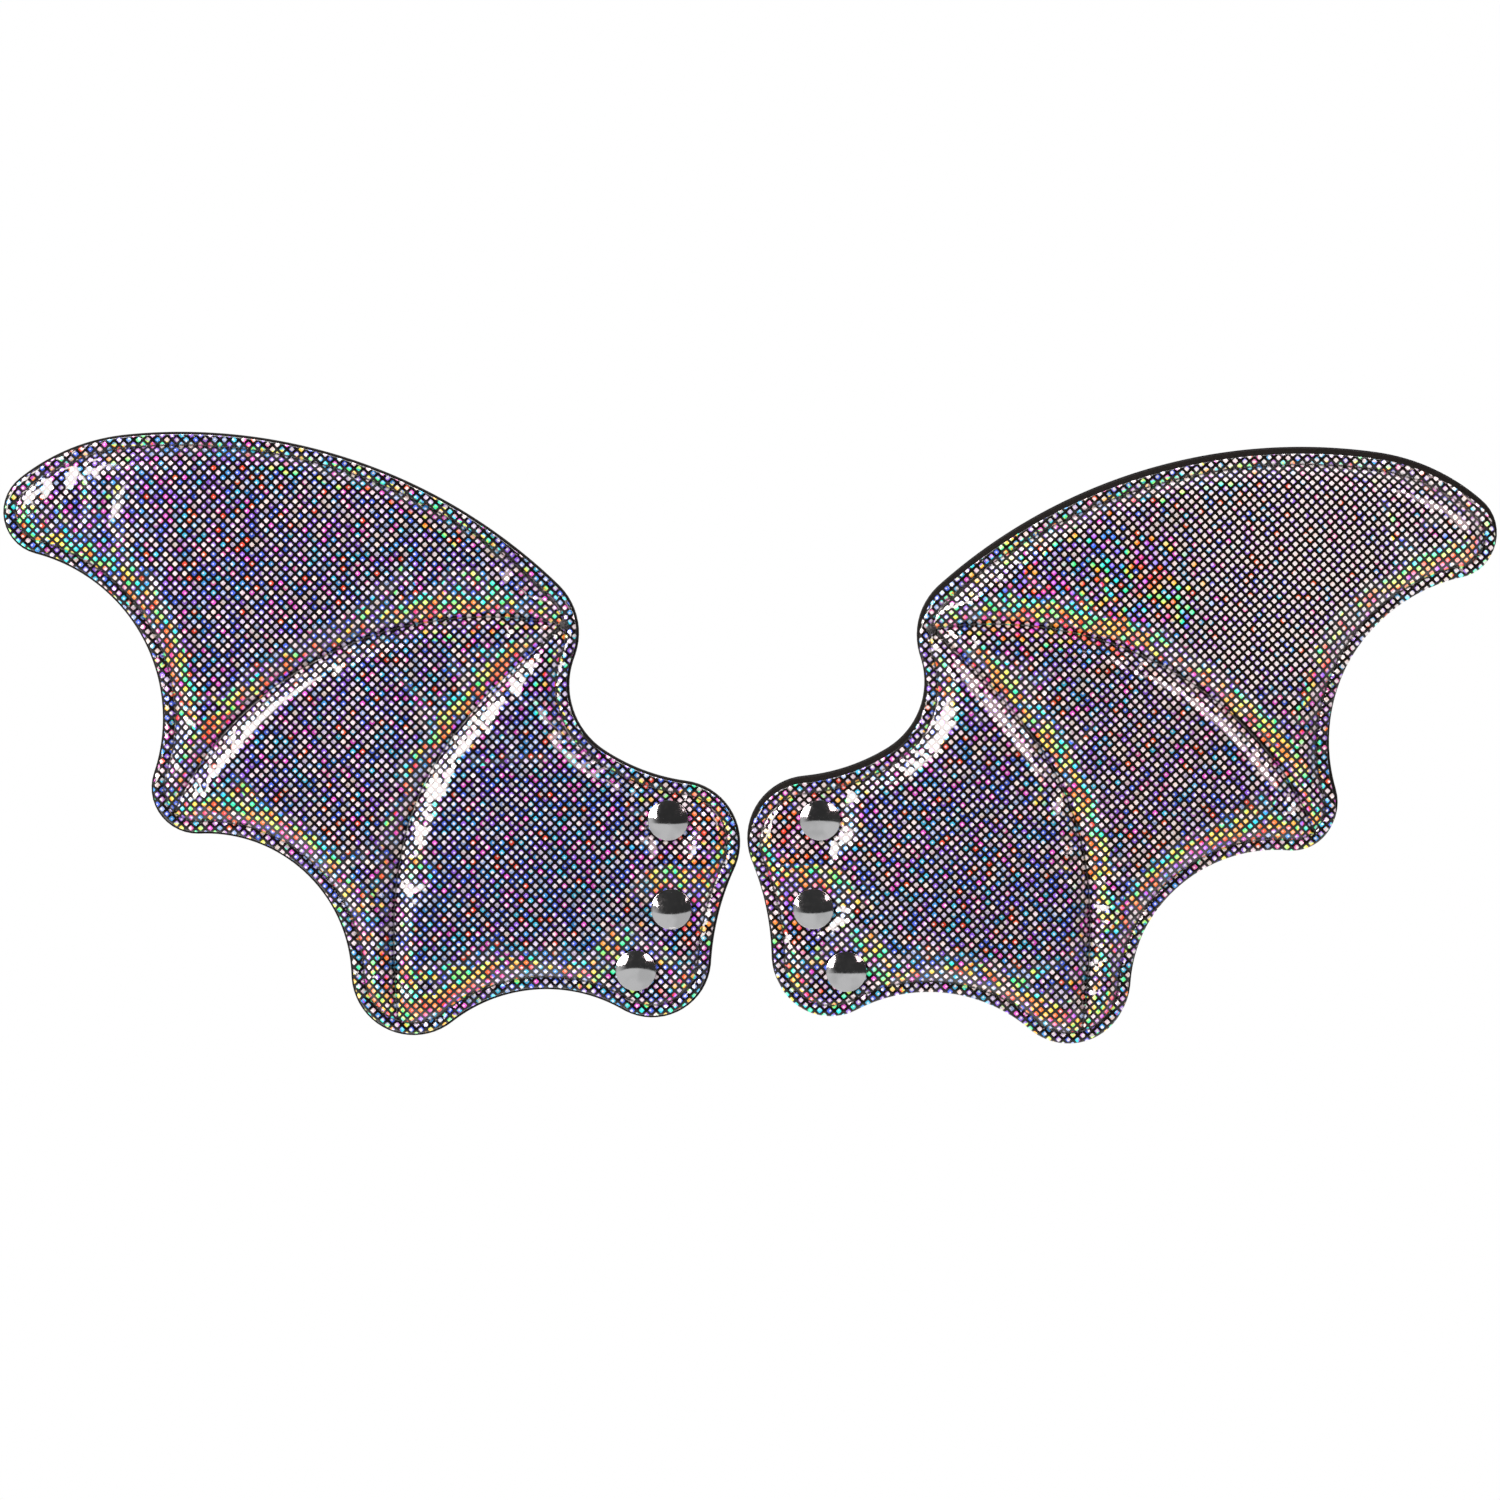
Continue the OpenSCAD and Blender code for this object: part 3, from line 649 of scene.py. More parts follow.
class Nodes:
    """Short hand for building the node tree of a material or world."""

    def __init__(self, owner):
        owner.use_nodes = True
        self.owner = owner
        self.tree = owner.node_tree

    def add(self, kind, **settings):
        node = self.tree.nodes.new(kind)
        for key, value in settings.items():
            setattr(node, key, value)
        return node

    def link(self, source, target):
        self.tree.links.new(source, target)

    def feed(self, socket, value):
        if isinstance(value, bpy.types.NodeSocket):
            self.link(value, socket)
        else:
            socket.default_value = value

    def fed(self, kind, value, **settings):
        """A new node with the value on its first input."""
        node = self.add(kind, **settings)
        self.feed(node.inputs[0], value)
        return node

    def object_place(self):
        return self.add("ShaderNodeTexCoord").outputs["Object"]

    def print_place(self):
        return self.add("ShaderNodeUVMap", uv_map="print").outputs["UV"]

    def stored(self, name):
        return self.add("ShaderNodeAttribute", attribute_name=name).outputs["Fac"]

    def axes(self, vector):
        return self.fed("ShaderNodeSeparateXYZ", vector).outputs

    def noise(self, vector, scale, detail=2.0):
        node = self.fed("ShaderNodeTexNoise", vector)
        node.inputs["Scale"].default_value = scale
        node.inputs["Detail"].default_value = detail
        return node.outputs["Fac"]

    def cells(self, vector, scale, feature="F1"):
        node = self.fed("ShaderNodeTexVoronoi", vector, feature=feature)
        node.inputs["Scale"].default_value = scale
        return node.outputs["Distance"]

    def math(self, operation, a, b=0.0):
        node = self.fed("ShaderNodeMath", a, operation=operation)
        self.feed(node.inputs[1], b)
        return node.outputs[0]

    def plus(self, a, b):
        return self.math("ADD", a, b)

    def minus(self, a, b):
        return self.math("SUBTRACT", a, b)

    def times(self, a, b):
        return self.math("MULTIPLY", a, b)

    def mix(self, factor, a, b, blend="MIX"):
        node = self.add("ShaderNodeMix", data_type="RGBA", blend_type=blend)
        for key, value in (("Factor", factor), ("A", a), ("B", b)):
            self.feed(node.inputs[key], value)
        return node.outputs["Result"]

    def between(self, value, low, high, to_low=0.0, to_high=1.0):
        node = self.fed("ShaderNodeMapRange", value, interpolation_type="SMOOTHSTEP")
        for key, v in (("From Min", low), ("From Max", high), ("To Min", to_low), ("To Max", to_high)):
            node.inputs[key].default_value = v
        return node.outputs["Result"]

    def ramp(self, factor, stops, interpolation="LINEAR"):
        node = self.fed("ShaderNodeValToRGB", factor)
        node.color_ramp.interpolation = interpolation
        elements = node.color_ramp.elements
        while len(elements) < len(stops):
            elements.new(0.5)
        for element, (position, color) in zip(elements, stops):
            element.position = position
            element.color = (*color, 1.0)
        return node.outputs["Color"]

    def bump(self, height, strength, distance):
        node = self.add("ShaderNodeBump")
        node.inputs["Strength"].default_value = strength
        node.inputs["Distance"].default_value = distance
        self.link(height, node.inputs["Height"])
        return node.outputs["Normal"]

    def surface(self, **values):
        names = {
            "color": "Base Color", "rough": "Roughness", "metal": "Metallic", "normal": "Normal",
            "coat": "Coat Weight", "coat_rough": "Coat Roughness", "sheen": "Sheen Weight",
            "sheen_rough": "Sheen Roughness", "specular": "Specular IOR Level",
            "glow": "Emission Color", "glow_strength": "Emission Strength",
        }
        shader = self.tree.nodes["Principled BSDF"]
        for key, value in values.items():
            self.feed(shader.inputs[names[key]], value)
        return self.owner


def new_material(name):
    return Nodes(bpy.data.materials.new(name))


def solid(color):
    return (*color, 1.0)


PRINT_PITCH = 2.1
CELL_SHARE = 0.60
CORE_DRIFT = 0.24
FILM_METAL = 0.35
GRATING_GLOW = 0.55


# the colours of single cells, each from its share of a random number on
COOL_CELLS = [
    (0.0, (0.10, 0.20, 1.0)), (0.22, (0.42, 0.58, 1.0)), (0.36, (0.08, 0.42, 1.0)),
    (0.47, (0.38, 0.18, 1.0)), (0.62, (0.75, 0.68, 1.0)), (0.76, (0.08, 0.66, 1.0)),
    (0.84, (1.0, 0.15, 0.85)), (0.96, (1.0, 0.10, 0.06)),
]
WARM_CELLS = [
    (0.0, (0.45, 0.25, 0.95)), (0.22, (0.95, 0.74, 0.86)), (0.42, (0.26, 0.24, 1.0)),
    (0.53, (0.75, 0.36, 0.95)), (0.66, (1.0, 0.82, 0.76)), (0.80, (0.16, 0.60, 1.0)),
    (0.86, (1.0, 0.22, 0.62)), (0.95, (1.0, 0.16, 0.06)),
]
# the rainbow round its circle of hues
BAND = [
    (0.0, (1.0, 0.03, 0.01)), (0.15, (1.0, 0.26, 0.01)), (0.28, (1.0, 0.82, 0.08)),
    (0.42, (0.04, 1.0, 0.25)), (0.56, (0.02, 0.85, 1.0)), (0.70, (0.05, 0.15, 1.0)),
    (0.84, (0.60, 0.10, 1.0)), (1.0, (1.0, 0.03, 0.01)),
]
WHITE = (1.0, 1.0, 1.0, 1.0)


def film_material(name, ink, flat_shade):
    """Holographic film under a black mesh print; flat_shade is how dim its dimmest cells are."""
    n = new_material(name)
    turn = n.fed("ShaderNodeMapping", n.print_place())
    turn.inputs["Rotation"].default_value = (0, 0, math.radians(45))
    scale = PRINT_SPAN / PRINT_PITCH
    turn.inputs["Scale"].default_value = (scale, scale, 1)
    grid = turn.outputs["Vector"]

    # which cell, and where in it
    cell = n.fed("ShaderNodeVectorMath", grid, operation="FLOOR").outputs[0]
    inside = n.axes(n.fed("ShaderNodeVectorMath", grid, operation="FRACTION").outputs[0])
    from_axes = [n.math("POWER", n.math("ABSOLUTE", n.minus(inside[k], 0.5)), 5.0) for k in (0, 1)]
    from_middle = n.math("POWER", n.plus(*from_axes), 0.2)
    edge = n.plus(from_middle, n.times(n.minus(n.noise(grid, 1.6), 0.5), 0.05))
    ink_mask = n.between(edge, CELL_SHARE / 2 - 0.04, CELL_SHARE / 2 + 0.04)

    # every cell has its own colour, with a white core somewhere in it
    random = n.fed("ShaderNodeTexWhiteNoise", cell, noise_dimensions="2D").outputs["Color"]
    pick = n.fed("ShaderNodeSeparateColor", random).outputs
    other = n.fed("ShaderNodeTexWhiteNoise", cell, noise_dimensions="3D").outputs["Value"]
    pale = n.stored("pale")
    takes_cool = n.math("LESS_THAN", other, n.stored("cool"))
    warm, cool = (n.ramp(pick[0], cells, "CONSTANT") for cells in (WARM_CELLS, COOL_CELLS))
    colour = n.mix(takes_cool, warm, cool)
    core_squares = []
    for axis, chance in ((0, 1), (1, 2)):
        drift = n.times(n.minus(pick[chance], 0.5), CORE_DRIFT)
        away = n.minus(n.minus(inside[axis], 0.5), drift)
        core_squares.append(n.times(away, away))
    core = n.math("SQRT", n.plus(*core_squares))
    # pale holds painted light, and widens the white cores where it is high
    core_r = n.plus(n.times(pale, 0.12), n.between(other, 0.0, 1.0, 0.08, 0.21))
    whiteness = n.between(n.minus(core, core_r), -0.07, 0.10, 1.0, 0.0)

    # slopes beside the seams split the light into bands, cell by cell
    shaken = n.plus(n.stored("band_hue"), n.times(n.minus(pick[2], 0.5), 0.45))
    band = n.ramp(n.math("FRACT", shaken), BAND)
    banded = n.between(n.minus(n.stored("band_amount"), n.times(pick[1], 0.8)), 0.0, 0.12, 0.0, 0.97)
    colour = n.mix(banded, colour, band)
    whiteness = n.times(whiteness, n.minus(1.0, n.times(banded, 0.55)))
    colour = n.mix(whiteness, colour, WHITE)
    # painted highlight: where pale is high, from panel tone or from slopes facing a lamp, the cells are
    # lifted to full brightness
    shade = n.math("MAXIMUM", n.between(pick[1], 0.0, 0.8, flat_shade, 1.0), n.math("MINIMUM", pale, 1.0))
    colour = n.mix(1.0, colour, shade, "MULTIPLY")

    # painted shade: the sewn creases are darkened towards the ink, as shadow falls in them
    base = n.mix(ink_mask, colour, ink)
    base = n.mix(n.times(n.stored("crease_shade"), 0.85), base, ink)
    tilt = n.plus(n.times(ink_mask, 0.5), n.times(other, 0.10))
    # a grating sends far more light into its band than paint of that colour would
    glow = n.times(n.times(banded, n.minus(1.0, ink_mask)), GRATING_GLOW)
    return n.surface(
        color=base, rough=n.between(ink_mask, 0.0, 1.0, 0.26, 0.20),
        metal=n.between(ink_mask, 0.0, 1.0, FILM_METAL, 0.0), normal=n.bump(tilt, 0.35, 0.0001),
        coat=0.8, coat_rough=0.06, specular=0.3, glow=band, glow_strength=glow)


def leather_material(name, color, pebble_mm, rough):
    """Faux leather with a fine pebbled grain."""
    n = new_material(name)
    where = n.object_place()
    grain = n.between(n.cells(where, 1.0 / (pebble_mm * MM), "DISTANCE_TO_EDGE"), 0.0, 0.22)
    cloud = n.noise(where, 60.0, 5.0)
    dark = tuple(c * 0.6 for c in color)
    worn = tuple(min(1, c * 2.2) for c in color)
    shade = n.mix(grain, solid(dark), solid(color))
    shade = n.mix(n.between(cloud, 0.3, 0.7, 0.0, 0.3), shade, solid(worn))
    roughness = n.between(cloud, 0.3, 0.7, rough - 0.06, rough + 0.08)
    return n.surface(color=shade, rough=roughness, metal=0.0, normal=n.bump(grain, 0.6, 0.00015),
                     specular=0.22)


def foam_material():
    """Cut edge of black foam, matt and finely pitted."""
    n = new_material("foam")
    pits = n.cells(n.object_place(), 2600.0)
    shade = n.mix(pits, solid((0.005, 0.005, 0.005)), solid((0.018, 0.016, 0.014)))
    return n.surface(color=shade, rough=0.85, metal=0.0, normal=n.bump(pits, 0.5, 0.0001), specular=0.08)


def thread_material():
    """Black polyester thread: two plies twisted together."""
    n = new_material("thread")
    along = n.axes(n.print_place())
    twist = n.plus(n.times(along[0], 62.0), n.times(along[1], 2 * 6.2832))
    # painted shade in the grooves between the plies and painted highlight on their crowns, on thread that
    # is black all through
    ply = n.between(n.math("SINE", twist), -1.0, 1.0)
    shade = n.mix(ply, solid((0.004, 0.004, 0.005)), solid((0.035, 0.034, 0.036)))
    return n.surface(color=shade, rough=0.5, metal=0.0, normal=n.bump(ply, 0.6, 0.00008), sheen=0.25,
                     sheen_rough=0.4)


def metal_material(name, color, rough, scratch):
    """Plated metal with fine wear."""
    n = new_material(name)
    where = n.object_place()
    wear = n.noise(where, 900.0, 6.0)
    marks = n.noise(where, 140.0)
    dull = tuple(c * 0.82 for c in color)
    shade = n.mix(n.between(marks, 0.4, 0.65), solid(color), solid(dull))
    return n.surface(color=shade, rough=n.between(wear, 0.35, 0.7, rough, rough + scratch), metal=1.0,
                     normal=n.bump(wear, 0.06, 0.0001))


# one film on both wings, in two copies lit differently as painted light: the left cooler and dimmer, the
# right brighter with warmer ink
FILM = {
    "left": film_material("film_lit_cool", solid((0.004, 0.003, 0.003)), 0.64),
    "right": film_material("film_lit_warm", solid((0.005, 0.004, 0.002)), 0.70),
}
BACKING = leather_material("backing", (0.008, 0.008, 0.009), 0.9, 0.46)
FOAM = foam_material()
THREAD = thread_material()
CHROME = metal_material("chrome", (0.80, 0.80, 0.81), 0.05, 0.07)
NICKEL = metal_material("nickel", (0.62, 0.61, 0.59), 0.18, 0.16)


def add_piece(side, name, data, material, stands_for):
    """One piece of a wing from (vertices, faces, uvs) lying flat, with the CAD nodes it stands for."""
    vertices, faces, uvs = data
    piece = new_piece(f"{side}_{name}", place(side, vertices), flip_for(side, faces), uvs)
    piece.data.materials.append(material)
    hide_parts(*[f"{side}_{node}" for node in stands_for])
    return piece


# ---- Baking each piece's placing into its mesh ----


def bend_with(piece):
    """Bakes a piece's placing into its mesh."""
    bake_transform(piece)


# ---- Pieces of one wing ----

FINE = wing_layout(
    rings=(0.12, 0.4, 0.9, 1.6, 2.3, 2.8, 3.15, 3.3, 3.45, 3.8, 4.4, 5.2, 6.2, 7.4, 8.8, 10.4),
    seam_offsets=(0.0, 0.2, 0.5, 1.0, 1.7, 2.6, 3.7, 5.0, 6.5, 8.2),
    ring_step=1.1, spacing=1.7)
COARSE = wing_layout(
    rings=(0.5, 1.8, 3.3, 4.6, 6.5, 9.0),
    seam_offsets=(0.0, 1.2, 3.0, 5.5, 8.5),
    ring_step=2.0, spacing=4.0)

# way in which the light falls across the front, seen from the camera: x to the right, y up
LIGHT_WAY = np.array([0.35, 0.94])
KEY_WAY = np.array([-0.87, 0.49])
SOFT_WAY = np.array([0.80, 0.60])

# where the right wing's film scatters the light into loose coloured cells, beside the wrist
WRIST_GLINT = np.array([99.0, 101.0])
GLINT_REACH = np.array([54.0, 26.0])

# how far the back skin and foam stand out past the front skin, all round and upwards
BACK_MARGIN = 0.75
FOAM_MARGIN = 0.45
BACK_LIFT = {"left": 0.15, "right": 1.5}

BACK_BULGE = 1.5
BACK_BITE = 0.3
FOAM_SLACK, RIM_SLACK = 0.5, 0.02
RIM_DROP = 0.22


def back_level(points):
    """Height of the back skin's outer face: flat behind the root, softly padded behind the wing."""
    d_seam = closest_seam(seam_distances(points))
    inside = nearest(points, EDGE_LINE, True)[0] > SEAM_INSET
    out = smooth(-inward_of_fold(points), FLEX_OFFSET + 2, FLEX_OFFSET + 16)
    bulge = BACK_BULGE * rise(d_seam, 9.0) * out * inside * (1 + 0.1 * smooth_noise(points, 14.0, 8))
    return BACK_BITE * np.exp(-(d_seam / 0.8) ** 2) - bulge


def rainbow(height, flat, faces, side):
    """Hue and strength of the light bands, from which way each slope faces."""
    # slope at each point, as the camera sees it
    steep = np.zeros((len(flat), 2))
    weight = np.zeros(len(flat))
    p0, p1, p2 = (flat[faces[:, k]] for k in range(3))
    h0, h1, h2 = (height[faces[:, k]] for k in range(3))
    u, v = p1 - p0, p2 - p0
    area = u[:, 0] * v[:, 1] - u[:, 1] * v[:, 0]
    gx = ((h1 - h0) * v[:, 1] - (h2 - h0) * u[:, 1]) / area
    gy = ((h2 - h0) * u[:, 0] - (h1 - h0) * v[:, 0]) / area
    pull = np.stack([gx, gy], axis=1) * area[:, None]
    for k in range(3):
        np.add.at(steep, faces[:, k], pull)
        np.add.at(weight, faces[:, k], area)
    steep /= weight[:, None]
    if side == "left":
        steep[:, 0] *= -1
    tilt = np.hypot(steep[:, 0], steep[:, 1])

    # the steeper the slope, the further along the rainbow; bands are strongest where it faces down
    facing_down = np.clip(0.5 + 0.9 * steep @ LIGHT_WAY / np.maximum(tilt, 1e-6), 0, 1)
    across = steep @ np.array([LIGHT_WAY[1], -LIGHT_WAY[0]])
    hue = 0.62 - 0.75 * np.clip(tilt, 0, 0.8) + 0.12 * across
    amount = np.clip((tilt - 0.10) / 0.25, 0, 1) * (0.30 + 0.95 * facing_down)
    amount *= np.clip(1.6 - 1.4 * tilt, 0.35, 1)
    amount *= 0.62 + 0.5 * smooth_noise(flat, 24.0, 77 if side == "left" else 78)

    # fewer bands in the dents round the caps, and loose coloured cells in their place
    from_cap = cap_distance(flat)
    caps = 1 - smooth(from_cap, 8, 22)
    well = 1 - smooth(from_cap, 11, 17)
    amount *= 1 - 0.75 * well
    amount += caps * (0.20 + 0.22 * smooth_noise(flat, 9.0, 55))
    if side == "right":
        spread = 1 - smooth(np.linalg.norm((flat - WRIST_GLINT) / GLINT_REACH, axis=1), 0.3, 1.0)
        amount += spread * (0.40 + 0.25 * smooth_noise(flat, 6.0, 57))
        hue = np.where((spread > 0.15) & (tilt < 0.2), 0.40 + 0.6 * smooth_noise(flat, 8.0, 58), hue)
    hue = np.where(caps * (tilt < 0.3) > 0.2, 0.22 + 0.35 * smooth_noise(flat, 10.0, 56), hue)

    # slopes that face a light turn pale
    facing = -steep / np.maximum(tilt, 1e-6)[:, None]
    lit = smooth(facing @ KEY_WAY, 0.70, 0.97)
    if side == "right":
        lit = np.maximum(lit, 0.9 * smooth(facing @ SOFT_WAY, 0.75, 0.98))
    lit *= smooth(tilt, 0.12, 0.4) * (1 - 0.4 * well)
    return hue, np.clip(amount * (1 - 0.6 * lit), 0, 1), lit


def panel_tone(side, flat):
    """How cool and how pale the film's cells are, as each panel leans a little differently to the lamps:
    painted light, with the dimmer left tip and the paler right tip painted, and some random tone.
    """
    d, foot = nearest(flat, INNER_SEAM, False)
    root_side = np.where(flat[:, 0] < foot[:, 0], smooth(d, 0, 8), 0)
    near_caps = 1 - smooth(cap_distance(flat), 9, 24)
    cloud = smooth_noise(flat, 18.0, 91)
    if side == "left":
        cool = 0.50 + 0.5 * root_side - 0.55 * near_caps + 0.15 * cloud
        return cool, 0.25 + 0.25 * cloud - 0.4 * smooth(flat[:, 0], 120, 215)
    tip = smooth(flat[:, 0], 95, 175) * smooth(flat[:, 1] - 0.35 * flat[:, 0], 0, 30)
    cool = 0.25 + 0.35 * root_side - 0.3 * near_caps - 0.2 * tip + 0.1 * cloud
    return cool, 0.25 + 1.15 * tip + 0.2 * cloud


PUCKER_FRAMES = 14
PUCKER_CAP = 0.45
EASE_IN = 0.035


def stitch_holes(flat):
    """Which points of the sheet the stitches hold down: the ends of every stitch on the three seams."""
    held = np.zeros(len(flat), bool)
    for line, closed in SEAMS:
        for hole in resample(line, STITCH_PITCH, closed):
            held[((flat - hole) ** 2).sum(axis=1).argmin()] = True
    return held


def pucker(flat, faces, relief, height):
    """Cloth simulation of the film on its foam: held at the stitch holes, it puckers between them."""
    held = stitch_holes(flat) | (relief.edge < 0.6) | (cap_distance(flat) < CAP_R + WELL_RIM)
    # the solver likes sizes of metres, so the sheet is simulated at ten times its size
    grow = 10 * MM
    cloth = new_piece("cloth", np.column_stack([flat, height]) * grow, [tuple(f) for f in faces])
    cloth.vertex_groups.new(name="held").add(np.nonzero(held)[0].tolist(), 1.0, "REPLACE")
    settings = cloth.modifiers.new("cloth", "CLOTH").settings
    settings.quality = 5
    settings.mass = 0.2
    settings.tension_stiffness = settings.compression_stiffness = 20.0
    settings.shear_stiffness = 10.0
    settings.bending_stiffness = 0.2
    settings.vertex_group_mass = "held"
    settings.shrink_min = -EASE_IN
    settings.use_pressure = True
    settings.uniform_pressure_force = 1.0
    settings.effector_weights.gravity = 0.0
    scene = bpy.context.scene
    for number in range(1, PUCKER_FRAMES + 1):
        scene.frame_set(number)
    shape = cloth.evaluated_get(bpy.context.evaluated_depsgraph_get()).data
    done = np.empty(len(flat) * 3, np.float32)
    shape.vertices.foreach_get("co", done)
    moved = done.reshape(-1, 3)[:, 2] / grow - height
    bpy.data.objects.remove(cloth)
    scene.frame_set(1)
    return PUCKER_CAP * np.tanh(moved / PUCKER_CAP)


def front_form(side):
    """Relief of a wing's front, and how far the simulation moves each of its points."""
    flat, faces = FINE
    relief = Relief(flat, side)
    height = relief.height()
    moved = pucker(flat, faces, relief, height)
    return relief, height + moved, moved


FRONT = {side: front_form(side) for side in SEED}


def front_level(side, line):
    """Level of the front skin's outer face along a line."""
    flat = FINE[0]
    closest = np.array([((flat - p) ** 2).sum(axis=1).argmin() for p in line])
    moved = FRONT[side][2][closest]
    ease = np.convolve(np.pad(moved, 2, mode="edge"), np.ones(5) / 5, mode="valid")
    return Relief(line, side).height() + ease


def front_skin(side):
    flat, faces = FINE
    relief, height, _ = FRONT[side]
    loop = boundary_loop(faces)
    top = height.copy()
    top[loop] -= RIM_DROP
    points, all_faces = closed_sheet(flat, faces, top, height - SKIN_T, 0.05)
    drawn = flat + relief.print_shift()
    uvs = print_uv(np.concatenate([drawn, drawn, drawn[loop]]))
    piece = add_piece(side, "front_skin", (points, all_faces, uvs), FILM[side],
                      ("front_skin_root", "front_skin_wing"))
    hue, amount, lit = rainbow(height, flat, faces, side)
    cool, pale = panel_tone(side, flat)
    # pale carries painted light: the panels' painted tone plus painted highlights on slopes facing a lamp
    stored = {
        "band_hue": hue, "band_amount": amount, "cool": cool, "pale": np.clip(pale + 1.1 * lit, 0, 1.3),
        # painted shade along the sewn creases
        "crease_shade": np.exp(-(closest_seam(relief.seams) / CREASE_W) ** 2),
    }
    for name, values in stored.items():
        point_values(piece, name, np.concatenate([values, values, values[loop]]))
    return piece


def wider(flat, loop, margin):
    """The flat points with the rim moved outwards."""
    moved = flat.copy()
    moved[loop] -= normals_of(flat[loop], True) * margin
    return moved


def foam_core(side):
    flat, faces = COARSE
    loop = boundary_loop(faces)
    rim = np.zeros(len(flat), bool)
    rim[loop] = True
    slack = np.where(rim, RIM_SLACK, FOAM_SLACK)
    top = Relief(flat, side).height() - SKIN_T - slack
    bottom = back_level(flat) + SKIN_T + slack
    moved = wider(flat, loop, FOAM_MARGIN)
    moved[:, 1] += BACK_LIFT[side] * 0.8 * rim
    sheet = closed_sheet(moved, faces, top, bottom, 0.2)
    return add_piece(side, "foam_core", (*sheet, None), FOAM, ("foam_root", "foam_wing"))


def back_skin(side):
    flat, faces = COARSE
    outer = back_level(flat)
    moved = wider(flat, boundary_loop(faces), BACK_MARGIN)
    moved[:, 1] += BACK_LIFT[side]
    sheet = closed_sheet(moved, faces, outer + SKIN_T, outer, 0.08)
    return add_piece(side, "back_skin", (*sheet, None), BACKING,
                     ("back_skin_root", "back_skin_wing"))


def thread_piece(side, name, data, *stands_for):
    return add_piece(side, name, data, THREAD, stands_for)


def seam_stitches(side, line, closed):
    """Front and back stitches of one seam."""
    if closed:
        line = np.concatenate([line, line[:1]])
    front = np.column_stack([line, front_level(side, line)])
    back = np.column_stack([line, back_level(line)])
    return joined([
        stitch_tubes(front, STITCH_PITCH, STITCH_LENGTH, THREAD_R, 0.16, 0.5),
        stitch_tubes(back, STITCH_PITCH, STITCH_LENGTH, THREAD_R, -0.16, 0.5),
    ])


KNOT_TURNS = (-25, 5, 35, 65, -50, 95, 20)


def knot_data():
    """A back-tack: short stitches crossing over each other where the finger seams start."""
    parts = []
    level = FRONT_LEVEL - SEAM_BITE + 0.35
    for k, turn in enumerate(KNOT_TURNS):
        way = polar(1, turn)
        start, end = KNOT - way * 1.5, KNOT + way * 1.7
        path = np.column_stack([np.linspace(start, end, 8), np.full(8, level + 0.12 * k)])
        parts.append(stitch_tubes(path, 3.2, 3.0, THREAD_R * 2, 0.22, 0.6))
    return joined(parts)


def clip(polygon, normal, limit):
    """The part of a closed polygon where point . normal <= limit."""
    kept = []
    values = polygon @ np.asarray(normal) - limit
    for i in range(len(polygon)):
        j = (i + 1) % len(polygon)
        if values[i] <= 0:
            kept.append(polygon[i])
        if (values[i] < 0) != (values[j] < 0):
            t = values[i] / (values[i] - values[j])
            kept.append(polygon[i] + t * (polygon[j] - polygon[i]))
    return np.array(kept)


def rounded(line, passes):
    """Softens the corners of a closed line."""
    for _ in range(passes):
        line = (np.roll(line, 1, axis=0) + 2 * line + np.roll(line, -1, axis=0)) / 4
    return line


def flap_outline(inset, start):
    """Flat outline of the flap from a line parallel to its fold."""
    line = chain_points(WING_CHAIN, FLAP_INSET + inset, 0.5)
    middle_in, middle_along = FOLD_MIDDLE @ FOLD_INWARD, FOLD_MIDDLE @ FOLD_ALONG
    line = clip(line, -FOLD_INWARD, -(middle_in + start))
    line = clip(line, FOLD_ALONG, middle_along + FOLD_LENGTH / 2 - inset)
    line = clip(line, -FOLD_ALONG, -(middle_along - FOLD_LENGTH / 2 + inset))
    return line


def flap_middle(points):
    """Level of the flap's middle surface: strip, slope, flat."""
    s = inward_of_fold(points)
    flat_level = -LACE_GAP - FLAP_T / 2
    level = np.interp(s, [-FOLD_GAP, 0.0, FLAP_RUN], [-FLAP_T / 2, FOLD_LEVEL, flat_level])
    ease = np.interp(np.abs(s - FLAP_RUN), [0, 2.5], [0.22, 0.0])
    return level + ease


def lace_flap(side):
    """The flap and its sewn strip: one sheet, from the strip over the fold to the rounded end."""
    outline = flap_outline(0.0, -FOLD_GAP - ANCHOR_W)
    boundary = rounded(resample(outline, 0.9, True), 4)
    s_steps = np.concatenate([np.arange(-8, -2.5, 1.0), np.arange(-2.5, 5, 0.5), np.arange(5, 56, 1.4)])
    t_steps = np.arange(-FOLD_LENGTH / 2, FOLD_LENGTH / 2, 1.4)
    s, t = np.meshgrid(s_steps, t_steps, indexing="ij")
    grid = FOLD_MIDDLE + s.reshape(-1, 1) * FOLD_INWARD + t.reshape(-1, 1) * FOLD_ALONG
    distance = nearest(grid, boundary, True)[0]
    grid = grid[(distance > 0.5) & in_outline(grid, boundary)]
    rim = resample(boundary, 0.9, True)
    flat, faces = triangles_inside(rim, grid)
    middle = flap_middle(flat)
    edge = nearest(flat, rim, True)[0]
    seam = 0.12 * np.exp(-((edge - FLAP_SEAM_INSET) / 0.5) ** 2)
    half = FLAP_T / 2 - 0.25 * (edge < 0.05)
    sheet = closed_sheet(flat, faces, middle + half, middle - half + seam, 0.18)
    return add_piece(side, "lace_flap", (*sheet, None), BACKING, ("flap", "flap_anchor"))


def flap_stitches():
    """Stitching round the flap, inside its edge, on its outer face."""
    line = flap_outline(FLAP_SEAM_INSET, FLAP_T + 1.4)
    line = rounded(resample(line, 0.9, True), 3)
    line = np.concatenate([line, line[:1]])
    path = np.column_stack([line, flap_middle(line) - FLAP_T / 2 + 0.12])
    return stitch_tubes(path, 3.0, 2.3, THREAD_R, -0.14, 0.4)


